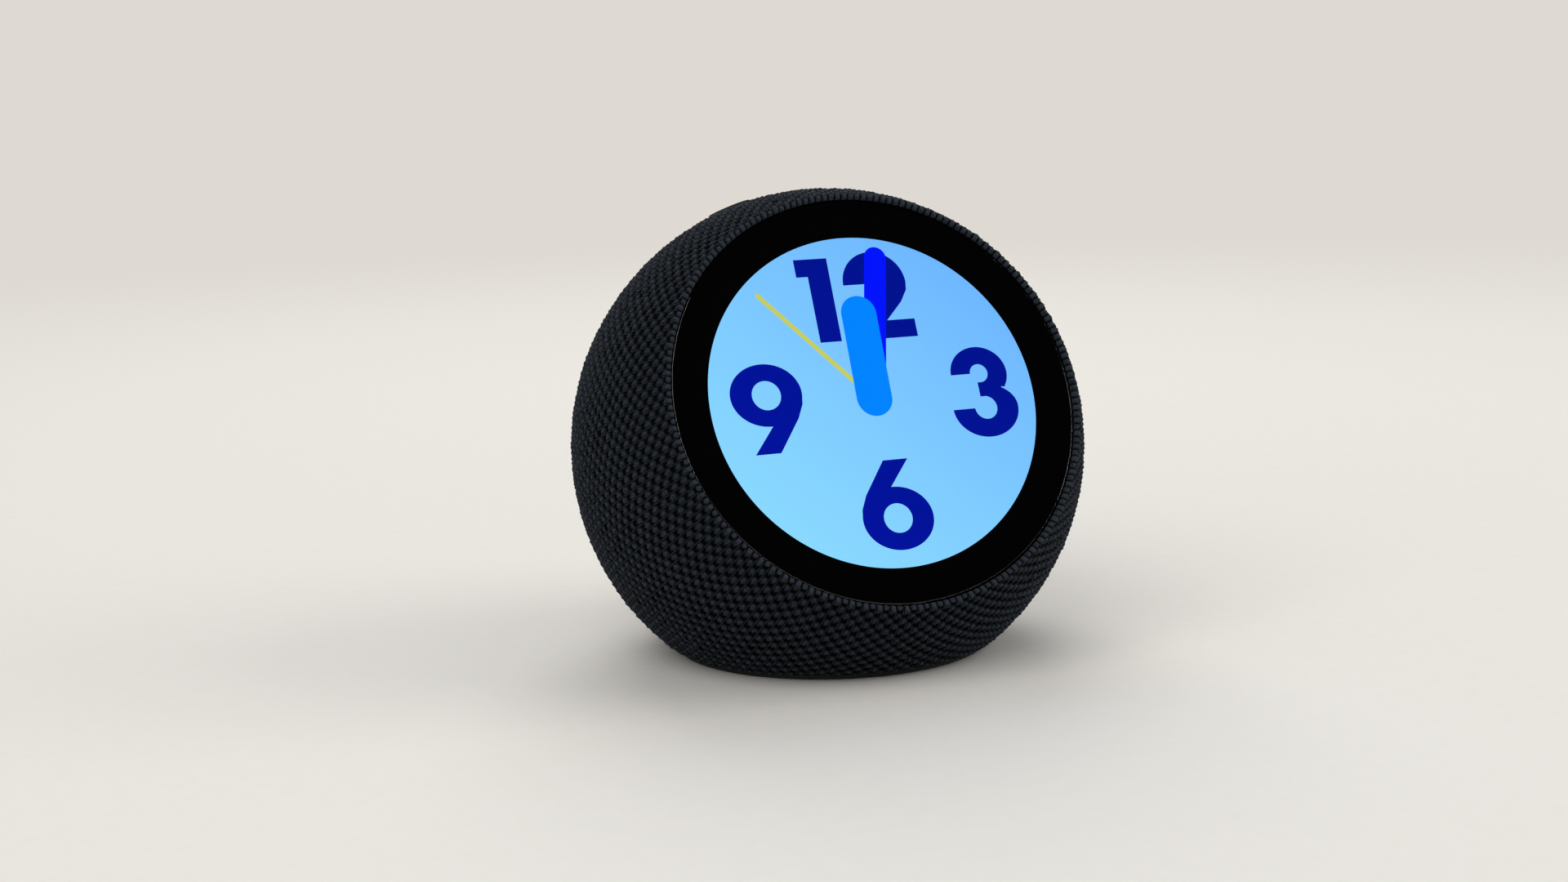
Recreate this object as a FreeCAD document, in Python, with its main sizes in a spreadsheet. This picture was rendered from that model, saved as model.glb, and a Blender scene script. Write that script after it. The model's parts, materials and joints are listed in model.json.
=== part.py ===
import FreeCAD, Part
import math
import os
import re
import Sketcher

# A smart speaker clock: a knit covered ball with a round tilted display, flat at the bottom.
# The row frame stands on the shelf under the ball's centre, with the display facing -Y.

doc = FreeCAD.newDocument("speaker_clock")
Vector = FreeCAD.Vector

# Driving sizes, in millimetres and degrees
SIZES = {
    # the ball and how it stands
    "body_radius": 54.0,
    "bottom_cut": 11.35,
    "tilt_angle": 25.9,
    "knit_thickness": 1.3,
    "knit_clearance": 0.2,
    "shell_wall": 2.0,
    "seam_gap": 0.2,
    "lap_length": 2.0,
    "lap_wall": 1.3,
    "lap_clearance": 0.3,
    # the display, counted along the axis that it faces
    "glass_front": 30.9,
    "glass_thickness": 1.9,
    "glass_rise": 0.25,
    "glass_edge": 0.6,
    "glass_gap": 0.3,
    "lip_round": 0.5,
    "tape_thickness": 0.3,
    "tape_width": 1.6,
    "tape_inset": 0.25,
    "seat_ledge": 2.15,
    "seat_thickness": 2.0,
    "frame_depth": 8.5,
    "panel_border": 1.7,
    "panel_thickness": 1.6,
    "polariser_thickness": 0.2,
    "chin_clearance": 0.48,
    "chin_length": 1.8,
    "chin_half_width": 12.0,
    "backlight_thickness": 2.0,
    "bracket_gap": 0.1,
    "bracket_thickness": 1.0,
    "bracket_inset": 0.6,
    "ear_offset": 0.3,
    "ear_radius": 2.2,
    "corner_angle": 45.0,
    "ribbon_half_width": 5.0,
    "ribbon_thickness": 0.25,
    # the main board behind the display
    "board_inset": 0.3,
    "board_thickness": 1.6,
    "standoff_length": 2.6,
    "standoff_inset": 5.5,
    "standoff_radius": 2.2,
    "can_height": 2.1,
    "can_half_width": 14.0,
    "can_half_height": 11.0,
    "can_corner": 1.5,
    "pad_thickness": 0.5,
    "spreader_thickness": 0.6,
    "spreader_half_width": 25.0,
    "spreader_half_height": 18.0,
    "socket_height": 1.2,
    "socket_length": 3.0,
    "ribbon_inset": 9.0,
    "ribbon_bend": 1.0,
    # the leads to the main board and the button board's own ribbon
    "lead_radius": 0.65,
    "lead_pitch": 2.0,
    "lead_inset": 10.5,
    "lead_clearance": 0.15,
    "bend_share": 0.45,
    "key_ribbon_across": 16.0,
    "key_ribbon_half_width": 4.0,
    "key_ribbon_inset": 9.5,
    "key_ribbon_bend": 3.0,
    "key_ribbon_drop": 8.0,
    # fasteners
    "screw_radius": 0.9,
    "screw_head_radius": 1.8,
    "screw_head_height": 1.2,
    "thread_clearance": 0.05,
    "hole_clearance": 0.3,
    "tip_gap": 0.3,
    "pilot_cap": 0.3,
    # the small gap between pieces that are seated side by side
    "fit_gap": 0.1,
    # the top buttons
    "button_lean": 15.0,
    "button_pitch": 15.7,
    "button_radius": 4.4,
    "button_gap": 0.3,
    "button_proud": 0.4,
    "button_travel": 0.4,
    "button_flange": 5.2,
    "flange_thickness": 1.1,
    "flange_clearance": 0.35,
    "stem_radius": 1.7,
    "plunger_radius": 1.3,
    "plunger_length": 1.7,
    "switch_half_width": 2.6,
    "switch_height": 2.8,
    "switch_well": 1.5,
    "key_depth": 11.5,
    "key_board_thickness": 1.2,
    "key_board_half_length": 27.0,
    "key_board_half_width": 7.5,
    "key_post_x": 23.8,
    "key_post_radius": 2.2,
    "key_post_depth": 4.0,
    "microphone_x": 7.85,
    "microphone_radius": 2.4,
    "microphone_bore": 0.7,
    # the joint between the two halves of the housing
    "lug_inset": 5.5,
    "lug_angle": 15.0,
    "lug_radius": 4.4,
    "boss_radius": 2.6,
    "boss_margin": 1.42,
    # the bottom
    "foot_reach": 0.52,
    "foot_thickness": 0.95,
    "foot_ledge": 3.4,
    "foot_boss_height": 0.8,
    "foot_edge": 0.35,
    "knit_rise": 1.15,
    "plate_underside": 1.0,
    "plate_recess": 0.8,
    "plate_floor": 2.0,
    "plate_rim_top": 4.0,
    "plate_lap_height": 1.5,
    "plate_post_count": 3,
    "post_gap": 0.5,
    "plate_post_radius": 2.4,
    "plate_post_top": 12.0,
    "post_cap": 2.0,
    "rib_bottom": 7.0,
    "rib_thickness": 1.6,
    "cone_margin": 3.6,
    "cone_top": 12.5,
    "cone_flare": 30.0,
    "cone_tip_radius": 3.0,
    # the openings in the lower skirt that let the sound out
    "slot_bottom": 7.5,
    "slot_height": 9.0,
    "slot_width": 2.2,
    "slot_sweep": 120.0,
    "slot_count": 14,
    # the acoustic chamber
    "chamber_bottom": 19.8,
    "chamber_flange": 2.5,
    "chamber_inset": 4.0,
    "chamber_rise": 7.35,
    "chamber_shoulder": 8.0,
    "chamber_wall": 1.8,
    "chamber_gap": 0.5,
    "mouth_clearance": 0.5,
    "chamber_post_inset": 0.77,
    "chamber_post_angle": 40.0,
    "chamber_post_radius": 2.8,
    # the driver, measured from the top of its flange
    "gasket_thickness": 0.8,
    "flange_edge": 1.5,
    "driver_screw_count": 4,
    "basket_radius": 19.9,
    "basket_skirt": 3.0,
    "basket_height": 12.8,
    "basket_top_radius": 14.2,
    "basket_wall": 0.8,
    "basket_bore": 7.6,
    "window_count": 4,
    "window_bottom": 4.0,
    "window_top": 10.5,
    "window_half_width": 5.5,
    "front_plate_thickness": 2.0,
    "front_plate_radius": 13.0,
    "magnet_thickness": 5.5,
    "magnet_radius": 14.0,
    "magnet_bore": 8.4,
    "yoke_thickness": 2.2,
    "yoke_radius": 13.4,
    "pole_radius": 6.0,
    "coil_gap": 0.3,
    "former_thickness": 0.3,
    "winding_thickness": 0.25,
    "winding_length": 3.2,
    "former_bottom": 6.6,
    "cone_radius": 15.6,
    "paper_thickness": 0.4,
    "neck_thickness": 0.6,
    "cone_edge_height": -0.7,
    "cap_rise": 3.0,
    "roll_height": 1.5,
    "rubber_thickness": 0.5,
    "terminal_drop": 0.2,
    "terminal_height": 1.8,
    "terminal_sweep": 24.0,
    "spider_drop": 2.2,
    "spider_gap": 0.25,
    # the power inlet at the back
    "inlet_height": 24.0,
    "inlet_sink": 2.38,
    "inlet_ring_radius": 5.6,
    "inlet_ring_bore": 4.4,
    "inlet_edge": 0.6,
    "inlet_flange_radius": 7.4,
    "inlet_flange_back": 7.1,
    "inlet_flange_thickness": 1.7,
    "inlet_recess": 0.4,
    "jack_radius": 4.25,
    "jack_bore": 3.2,
    "jack_depth": 9.4,
    "jack_length": 11.8,
    "jack_block_half": 5.2,
    "jack_block_length": 4.6,
    "jack_pin_radius": 1.0,
    "jack_pin_length": 8.0,
    "jack_end_wall": 1.0,
    # the flexible antennas inside the dome
    "antenna_thickness": 0.2,
    "antenna_gap": 0.15,
    "antenna_near": 16.0,
    "antenna_length": 20.0,
    "antenna_bottom": 8.0,
    "antenna_height": 16.0,
}

# Sizes that follow from the driving ones
DERIVED = {
    "centre_height": "body_radius - bottom_cut",
    "knit_inside": "body_radius - knit_thickness",
    "shell_radius": "knit_inside - knit_clearance",
    "shell_inside": "shell_radius - shell_wall",
    "lap_outside": "shell_inside - lap_clearance",
    "lap_inside": "lap_outside - lap_wall",
    "lug_ring": "shell_inside - lug_inset",
    "boss_length": "sqrt(shell_inside^2 - lug_ring^2) - lap_length - boss_margin",
    "lip_height": "glass_front - glass_rise",
    "lip_radius": "sqrt((body_radius - lip_round)^2 - lip_height^2) - lip_round",
    "glass_radius": "lip_radius - glass_gap",
    "glass_back": "glass_front - glass_thickness",
    "seat_bore": "glass_radius - seat_ledge",
    "seat_face": "glass_back - tape_thickness",
    "frame_back": "seat_face - frame_depth",
    "chin_reach": "sqrt((seat_bore - chin_clearance)^2 - chin_half_width^2)",
    "panel_radius": "chin_reach - chin_length",
    "panel_back": "glass_back - panel_thickness",
    "backlight_back": "panel_back - backlight_thickness",
    "bracket_radius": "seat_bore - bracket_inset",
    "bracket_front": "backlight_back - bracket_gap",
    "bracket_back": "bracket_front - bracket_thickness",
    "ear_ring": "seat_bore + ear_offset",
    "board_radius": "panel_radius - board_inset",
    "board_front": "bracket_back - standoff_length",
    "board_back": "board_front - board_thickness",
    "standoff_ring": "board_radius - standoff_inset",
    "can_back": "board_back - can_height",
    "pad_back": "can_back - pad_thickness",
    "spreader_back": "pad_back - spreader_thickness",
    "pilot_radius": "screw_radius + thread_clearance",
    "pass_radius": "screw_radius + hole_clearance",
    "ribbon_end": "ribbon_inset - board_radius",
    "lead_at": "board_radius - lead_inset",
    "key_ribbon_at": "board_radius - key_ribbon_inset",
    "key_board_top": "shell_inside - key_depth",
    "switch_top": "key_board_top + switch_height",
    "stem_bottom": "switch_top - switch_well + button_travel + fit_gap + plunger_length",
    "foot_radius": "sqrt(knit_inside^2 - (centre_height - knit_rise)^2) + foot_reach",
    "foot_boss_radius": "foot_radius - foot_ledge",
    "plate_floor_bottom": "plate_underside + plate_recess",
    "plate_floor_top": "plate_floor_bottom + plate_floor",
    "plate_lap_radius": "sqrt(shell_inside^2 - (centre_height - plate_rim_top)^2) - lap_clearance",
    "plate_post_ring": "plate_lap_radius - lap_wall - plate_post_radius - post_gap",
    "cone_foot_radius": "plate_post_ring - plate_post_radius - cone_margin",
    "chamber_post_ring": "sqrt(shell_inside^2 - (centre_height - rib_bottom)^2) - chamber_post_inset",
    "chamber_radius": "chamber_post_ring - chamber_inset",
    "chamber_top": "centre_height + chamber_rise",
    "chamber_front": "spreader_back - chamber_gap",
    "chamber_mouth": "basket_radius + mouth_clearance",
    "driver_height": "chamber_bottom - gasket_thickness",
    "driver_screw_ring": "basket_radius + screw_head_radius",
    "driver_flange_radius": "driver_screw_ring + flange_edge",
    "basket_slope": "(basket_radius - basket_top_radius) / (basket_height - basket_wall - basket_skirt)",
    "basket_flare": "(basket_radius - basket_top_radius) / (basket_height - basket_skirt)",
    "spider_height": "basket_height - spider_drop",
    "spider_room": "basket_top_radius - basket_wall + (spider_drop - basket_wall) * basket_slope",
    "spider_radius": "spider_room - spider_gap",
    "terminal_top": "basket_height - terminal_drop",
    "terminal_low": "terminal_top - terminal_height",
    "speaker_lead_ring": "magnet_radius + lead_pitch + lead_radius",
    "coil_radius": "pole_radius + coil_gap",
    "coil_outside": "coil_radius + former_thickness",
    "yoke_back": "basket_height + front_plate_thickness + magnet_thickness + yoke_thickness",
    "inlet_face": "sqrt(body_radius^2 - (centre_height - inlet_height)^2) - inlet_sink",
}

dims = doc.addObject("Spreadsheet::Sheet", "Dims")
for row, (word, number) in enumerate(SIZES.items(), 1):
    dims.set(f"A{row}", str(number))
    dims.setAlias(f"A{row}", word)
for row, (word, formula) in enumerate(DERIVED.items(), 1):
    dims.set(f"B{row}", "=" + formula)
    dims.setAlias(f"B{row}", word)
doc.recompute()


def value(formula):
    """A formula written in the sheet's words, as a number."""
    result = dims.evalExpression(str(formula))
    return float(getattr(result, "Value", result))


def bound(formula):
    """The same formula, with each of the sheet's words named as the sheet's own."""
    def owned(word):
        return "Dims." + word.group() if word.group() in SIZES or word.group() in DERIVED else word.group()
    return re.sub(r"[a-z_]+", owned, str(formula))


# The local frames: how high each origin lies, how far along Y, and its turn about X.
# Along their own Z run the display's axis, the buttons' axis and the plug's axis.
FRAMES = {
    "ground": ("0", "0", "0"),
    "ball": ("0", "centre_height", "0"),
    "display": ("0", "centre_height", "90 - tilt_angle"),
    "button": ("0", "centre_height", "-button_lean"),
    "driver": ("0", "driver_height", "0"),
    "inlet": ("inlet_face", "inlet_height", "-90"),
}
PIECES = []


def lean(piece, attribute, along, lift, turn):
    """Binds a placement that slides along Y and Z and turns about X."""
    about_x = FreeCAD.Rotation(Vector(1, 0, 0), value(turn))
    setattr(piece, attribute, FreeCAD.Placement(Vector(0, value(along), value(lift)), about_x))
    piece.setExpression(f"{attribute}.Base.y", bound(along))
    piece.setExpression(f"{attribute}.Base.z", bound(lift))
    if value(turn):
        piece.setExpression(f"{attribute}.Rotation.Angle", bound(turn))


def body(name, frame, kept=True):
    """An empty body in one of the local frames."""
    piece = doc.addObject("PartDesign::Body", name)
    piece.Label = name
    piece.AllowCompound = True
    lean(piece, "Placement", *FRAMES[frame])
    if kept:
        PIECES.append(piece)
    return piece


def plane(piece, role):
    return next(part for part in piece.Origin.OriginFeatures if part.Role == role)


def sketch(piece, role, lift="0", turn="0"):
    """A sketch on one of the body's own planes, lifted along its normal after a turn about X."""
    drawing = piece.newObject("Sketcher::SketchObject", piece.Name + "_sketch")
    drawing.AttachmentSupport = (plane(piece, role), [""])
    drawing.MapMode = "FlatFace"
    lean(drawing, "AttachmentOffset", f"-({lift}) * sin({turn})", f"({lift}) * cos({turn})", turn)
    return drawing


def fix(drawing, kind, places, formula):
    """One size of a sketch, bound to its formula."""
    number = value(formula)
    index = drawing.addConstraint(Sketcher.Constraint(kind, *places, number))
    drawing.setExpression(f"Constraints[{index}]", bound(formula))


def outline(drawing, corners):
    """A closed outline. A corner is (x, y), or (x, y, radius) where an arc to the next corner starts.

    A positive radius has its centre on the left of the way round, a negative one on the right.
    """
    points = [(value(corner[0]), value(corner[1])) for corner in corners]
    ends = []
    for index, corner in enumerate(corners):
        start = Vector(*points[index], 0)
        stop = Vector(*points[(index + 1) % len(corners)], 0)
        if len(corner) == 2:
            edge = drawing.addGeometry(Part.LineSegment(start, stop))
            ends.append((edge, 1, 2))
            continue
        radius = value(corner[2])
        chord = stop - start
        rise = math.sqrt(max(radius * radius - chord.Length ** 2 / 4, 0))
        across = Vector(-chord.y, chord.x, 0).normalize() * math.copysign(rise, radius)
        centre = (start + stop) / 2 + across
        first, last = (start, stop) if radius > 0 else (stop, start)
        angles = [math.atan2(point.y - centre.y, point.x - centre.x) for point in (first, last)]
        circle = Part.Circle(centre, Vector(0, 0, 1), abs(radius))
        edge = drawing.addGeometry(Part.ArcOfCircle(circle, *angles))
        ends.append((edge, 1, 2) if radius > 0 else (edge, 2, 1))
        fix(drawing, "Radius", (edge,), f"abs({corner[2]})")
    for index, corner in enumerate(corners):
        edge, start, _ = ends[index]
        before, _, stop = ends[index - 1]
        drawing.addConstraint(Sketcher.Constraint("Coincident", before, stop, edge, start))
        fix(drawing, "DistanceX", (-1, 1, edge, start), corner[0])
        fix(drawing, "DistanceY", (-1, 1, edge, start), corner[1])


def follow(drawing, corners):
    """An open line of straight runs and arcs, its corners written as for an outline."""
    edges = []
    for start, stop in zip(corners, corners[1:]):
        first, last = (Vector(value(corner[0]), value(corner[1]), 0) for corner in (start, stop))
        if len(start) == 2:
            edges.append((drawing.addGeometry(Part.LineSegment(first, last)), 1, 2))
            continue
        radius = value(start[2])
        chord = last - first
        rise = math.sqrt(max(radius * radius - chord.Length ** 2 / 4, 0))
        centre = (first + last) / 2 + Vector(-chord.y, chord.x, 0).normalize() * rise
        angles = [math.atan2(point.y - centre.y, point.x - centre.x) for point in (first, last)]
        edges.append((drawing.addGeometry(
            Part.ArcOfCircle(Part.Circle(centre, Vector(0, 0, 1), radius), *angles)), 1, 2))
        fix(drawing, "Radius", (edges[-1][0],), start[2])
    for index, (edge, start, stop) in enumerate(edges):
        if index:
            drawing.addConstraint(Sketcher.Constraint("Coincident", edges[index - 1][0], 2, edge, start))
        fix(drawing, "DistanceX", (-1, 1, edge, start), corners[index][0])
        fix(drawing, "DistanceY", (-1, 1, edge, start), corners[index][1])
    fix(drawing, "DistanceX", (-1, 1, edges[-1][0], 2), corners[-1][0])
    fix(drawing, "DistanceY", (-1, 1, edges[-1][0], 2), corners[-1][1])


def revolve(piece, corners, kind="Revolution"):
    """Turns an outline of radius and height about the body's Z axis."""
    drawing = sketch(piece, "XZ_Plane")
    outline(drawing, corners)
    feature = piece.newObject("PartDesign::" + kind, piece.Name + "_turned")
    feature.Profile = drawing
    feature.ReferenceAxis = (drawing, ["V_Axis"])
    feature.Angle = 360
    doc.recompute()
    return feature


def raise_sketch(piece, drawing, low, high, cut):
    """Pads a sketch from its own height up, or cuts the same space away."""
    feature = piece.newObject("PartDesign::" + ("Pocket" if cut else "Pad"), piece.Name + "_raised")
    feature.Profile = drawing
    feature.Reversed = cut
    feature.setExpression("Length", bound(f"({high}) - ({low})"))
    doc.recompute()
    return feature


def discs(piece, spots, radius, low, high, cut=False, turn="0"):
    """Round pads or holes of one radius between two heights."""
    drawing = sketch(piece, "XY_Plane", low, turn)
    for across, along in spots:
        centre = Vector(value(across), value(along), 0)
        edge = drawing.addGeometry(Part.Circle(centre, Vector(0, 0, 1), value(radius)))
        fix(drawing, "DistanceX", (-1, 1, edge, 3), across)
        fix(drawing, "DistanceY", (-1, 1, edge, 3), along)
        fix(drawing, "Radius", (edge,), radius)
    return raise_sketch(piece, drawing, low, high, cut)


def block(piece, corners, low, high, cut=False):
    """A pad or a cut with straight sides, between two heights."""
    drawing = sketch(piece, "XY_Plane", low)
    outline(drawing, corners)
    return raise_sketch(piece, drawing, low, high, cut)


def slab(piece, corners, thickness, cut=False, across="0"):
    """An outline in the body's YZ plane or beside it, with the same thickness to each side of it."""
    drawing = sketch(piece, "YZ_Plane", across)
    outline(drawing, corners)
    feature = piece.newObject("PartDesign::" + ("Pocket" if cut else "Pad"), piece.Name + "_slab")
    feature.Profile = drawing
    feature.Midplane = True
    feature.setExpression("Length", bound(thickness))
    doc.recompute()
    return feature


def shear(piece, toward, distance):
    """Cuts away all that lies further than a distance along a direction in the YZ plane."""
    along, up = toward
    far = "3 * body_radius"
    corners = [(f"({distance}) * {along} {side} {far} * {up}", f"({distance}) * {up} {other} {far} * {along}")
               for side, other in (("-", "+"), ("+", "-"))]
    beyond = [(f"{far} * {along} {side} {far} * {up}", f"{far} * {up} {other} {far} * {along}")
              for side, other in (("+", "-"), ("-", "+"))]
    return slab(piece, corners + beyond, "4 * body_radius", cut=True)


def polar(piece, feature, count, sweep="360", backwards=False):
    """Repeats one feature about the body's Z axis."""
    pattern = piece.newObject("PartDesign::PolarPattern", piece.Name + "_pattern")
    pattern.Originals = [feature]
    pattern.Axis = (plane(piece, "Z_Axis"), [""])
    pattern.setExpression("Angle", bound(sweep))
    pattern.setExpression("Occurrences", bound(count))
    pattern.Reversed = backwards
    piece.Tip = pattern
    doc.recompute()
    return pattern


def rectangle(half_width, half_height):
    return [(f"-{half_width}", f"-{half_height}"), (half_width, f"-{half_height}"),
            (half_width, half_height), (f"-{half_width}", half_height)]


def ring(radius, angles):
    """Spots on a circle, as formulas."""
    return [(f"{radius} * cos({angle})", f"{radius} * sin({angle})") for angle in angles]


def evenly(radius, count, first):
    """Spots spread evenly round a circle from a first angle."""
    return ring(radius, [f"{first} + {step} * 360 / {count}" for step in range(round(value(count)))])


def four(radius, angle):
    """One spot in each quarter of a circle, at the same angle to the X axis."""
    return ring(radius, (angle, f"180 - {angle}", f"180 + {angle}", f"-{angle}"))


def on_ball(radius, height):
    """How far from the axis a sphere about the frame's origin is at a height."""
    return f"sqrt(({radius})^2 - ({height})^2)"


def screws(name, frame, spots, seat, tip, turn="0"):
    """A set of screws whose heads lie on the seat, away from their tips."""
    piece = body(name, frame)
    outwards = 1 if value(seat) > value(tip) else -1
    low, high = (tip, seat) if outwards > 0 else (seat, tip)
    discs(piece, spots, "screw_radius", low, high, turn=turn)
    head = f"({seat}) {'+' if outwards > 0 else '-'} screw_head_height"
    low, high = (seat, head) if outwards > 0 else (head, seat)
    discs(piece, spots, "screw_head_radius", low, high, turn=turn)
    return piece


FORWARD = ("(-cos(tilt_angle))", "sin(tilt_angle)")
DOWN_IN_DISPLAY = ("(-cos(tilt_angle))", "(-sin(tilt_angle))")
BUTTON_IN_DISPLAY = "-button_lean - (90 - tilt_angle)"
BACK_IN_DISPLAY = "tilt_angle - 180"
BUTTON_SPOTS = [("-button_pitch", "0"), ("0", "0"), ("button_pitch", "0")]
KEY_POSTS = [("-key_post_x", "0"), ("key_post_x", "0")]
MICROPHONES = [("-microphone_x", "0"), ("microphone_x", "0")]
LUGS = ring("lug_ring", ("lug_angle", "90", "180 - lug_angle"))
EARS = four("ear_ring", "corner_angle")
STANDOFFS = four("standoff_ring", "corner_angle")
PLATE_POSTS = evenly("plate_post_ring", "plate_post_count", "-90")
CHAMBER_POSTS = four("chamber_post_ring", "chamber_post_angle")
DRIVER_SCREWS = evenly("driver_screw_ring", "driver_screw_count", "0")
INLET_SPOT = [("0", "centre_height - inlet_height")]


def make_fabric_cover():
    """The knit sleeve: a thin ball about the display's axis, turned in round the glass."""
    piece = body("fabric_cover", "display")
    hem = "seat_face + fit_gap"
    tangent = "body_radius / (body_radius - lip_round)"
    revolve(piece, [
        ("0", "-body_radius", "body_radius"),
        ("body_radius", "0", "body_radius"),
        (f"(lip_radius + lip_round) * {tangent}", f"lip_height * {tangent}", "lip_round"),
        ("lip_radius", "lip_height"),
        ("lip_radius", hem),
        (on_ball("knit_inside", hem), hem, "-knit_inside"),
        ("knit_inside", "0", "-knit_inside"),
        ("0", "-knit_inside"),
    ])
    shear(piece, DOWN_IN_DISPLAY, "centre_height - knit_rise")
    discs(piece, BUTTON_SPOTS, "button_radius + button_gap", "key_board_top", "2 * body_radius",
          cut=True, turn=BUTTON_IN_DISPLAY)
    discs(piece, INLET_SPOT, "inlet_ring_radius + button_gap", "inlet_face / 2", "2 * body_radius",
          cut=True, turn=BACK_IN_DISPLAY)


def make_front_frame():
    """The moulded ring that carries the glass and laps into the two shells."""
    piece = body("front_frame", "display")
    step = "frame_back + lap_length"
    end = "frame_back - lap_length"
    seat_back = "seat_face - seat_thickness"
    revolve(piece, [
        (on_ball("shell_radius", "seat_face"), "seat_face"),
        ("seat_bore", "seat_face"),
        ("seat_bore", seat_back),
        (on_ball("shell_inside", seat_back), seat_back, "-shell_inside"),
        (on_ball("shell_inside", step), step),
        (on_ball("lap_inside", step), step, "-lap_inside"),
        (on_ball("lap_inside", end), end),
        (on_ball("lap_outside", end), end, "lap_outside"),
        (on_ball("lap_outside", "frame_back"), "frame_back"),
        (on_ball("shell_radius", "frame_back"), "frame_back", "shell_radius"),
    ])
    discs(piece, EARS, "ear_radius", "bracket_front", f"({seat_back}) + seat_thickness / 2")
    discs(piece, EARS, "pilot_radius", "bracket_front", "seat_face - pilot_cap", cut=True)


def make_upper_shell():
    """The rear dome, open in front, with the button holes and its hanging bosses."""
    piece = body("upper_shell", "ball")
    revolve(piece, [
        ("shell_radius", "0", "shell_radius"),
        ("0", "shell_radius"),
        ("0", "shell_inside", "-shell_inside"),
        ("shell_inside", "0"),
    ])
    discs(piece, LUGS, "boss_radius", "lap_length + seam_gap", "lap_length + boss_length")
    discs(piece, KEY_POSTS, "key_post_radius", "key_board_top",
          "sqrt(shell_inside^2 - key_post_x^2)", turn="-button_lean")
    shear(piece, FORWARD, "frame_back - seam_gap")
    discs(piece, LUGS, "pilot_radius", "0", "lap_length + boss_length / 2", cut=True)
    discs(piece, KEY_POSTS, "pilot_radius", "key_board_top / 2", "key_board_top + key_post_depth", cut=True,
          turn="-button_lean")
    discs(piece, BUTTON_SPOTS, "button_radius + button_gap", "key_board_top", "body_radius", cut=True,
          turn="-button_lean")
    discs(piece, MICROPHONES, "microphone_bore", "key_board_top", "body_radius", cut=True,
          turn="-button_lean")


def make_lower_shell():
    """The lower half: sound slots, posts for the chamber, bosses for the base plate, the inlet hole."""
    piece = body("lower_blank", "ball", kept=False)
    bottom = "plate_rim_top + seam_gap - centre_height"
    revolve(piece, [
        (on_ball("shell_radius", bottom), bottom, "shell_radius"),
        (on_ball("shell_radius", "seam_gap"), "-seam_gap"),
        (on_ball("lap_outside", "seam_gap"), "-seam_gap", "lap_outside"),
        (on_ball("lap_outside", "lap_length"), "lap_length"),
        (on_ball("lap_inside", "lap_length"), "lap_length", "-lap_inside"),
        (on_ball("lap_inside", "lap_length"), "-lap_length"),
        (on_ball("shell_inside", "lap_length"), "-lap_length", "-shell_inside"),
        (on_ball("shell_inside", bottom), bottom),
    ])
    slot_low = "slot_bottom - centre_height"
    slot_high = "slot_bottom + slot_height - centre_height"
    drawing = sketch(piece, "XZ_Plane")
    outline(drawing, [("-slot_width / 2", slot_low), ("slot_width / 2", slot_low),
                      ("slot_width / 2", slot_high), ("-slot_width / 2", slot_high)])
    slot = piece.newObject("PartDesign::Pocket", "sound_slot")
    slot.Profile = drawing
    slot.setExpression("Length", bound("body_radius"))
    doc.recompute()
    polar(piece, slot, "slot_count", "slot_sweep")
    polar(piece, slot, "slot_count", "slot_sweep", backwards=True)
    discs(piece, LUGS, "lug_radius", "-lap_length", "lap_length")
    discs(piece, CHAMBER_POSTS, "chamber_post_radius", "rib_bottom - centre_height",
          "chamber_bottom - centre_height")
    discs(piece, PLATE_POSTS, "plate_post_radius", "plate_floor_top + fit_gap - centre_height",
          "plate_post_top - centre_height")
    mid_wall = "shell_radius - shell_wall / 2"
    rib_low = "rib_bottom - centre_height"
    rib_high = "plate_post_top - centre_height"
    rib = slab(piece, [
        ("-plate_post_ring", rib_high),
        (f"-{on_ball(mid_wall, rib_high)}", rib_high),
        (f"-{on_ball(mid_wall, rib_low)}", rib_low),
        ("-plate_post_ring", rib_low),
    ], "rib_thickness")
    polar(piece, rib, "plate_post_count")
    shear(piece, FORWARD, "frame_back - seam_gap")
    discs(piece, LUGS, "pass_radius", "-2 * lap_length", "2 * lap_length", cut=True)
    discs(piece, CHAMBER_POSTS, "pilot_radius", "plate_post_top - centre_height",
          "chamber_bottom - centre_height", cut=True)
    discs(piece, PLATE_POSTS, "pilot_radius", "-centre_height", f"{rib_high} - post_cap", cut=True)
    discs(piece, INLET_SPOT, "inlet_ring_radius + fit_gap", "inlet_face / 2", "2 * body_radius",
          cut=True, turn="-90")
    room = body("room_for_frame", "display", kept=False)
    ball = "lap_outside + lap_clearance / 2"
    low = "frame_back - lap_length - seam_gap"
    revolve(room, [("0", low), (on_ball(ball, low), low, ball), (on_ball(ball, "glass_front"), "glass_front"),
                   ("0", "glass_front")])
    shell = doc.addObject("Part::Cut", "lower_shell")
    shell.Label = "lower_shell"
    shell.Base = piece
    shell.Tool = room
    doc.recompute()
    PIECES.append(shell)


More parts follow.
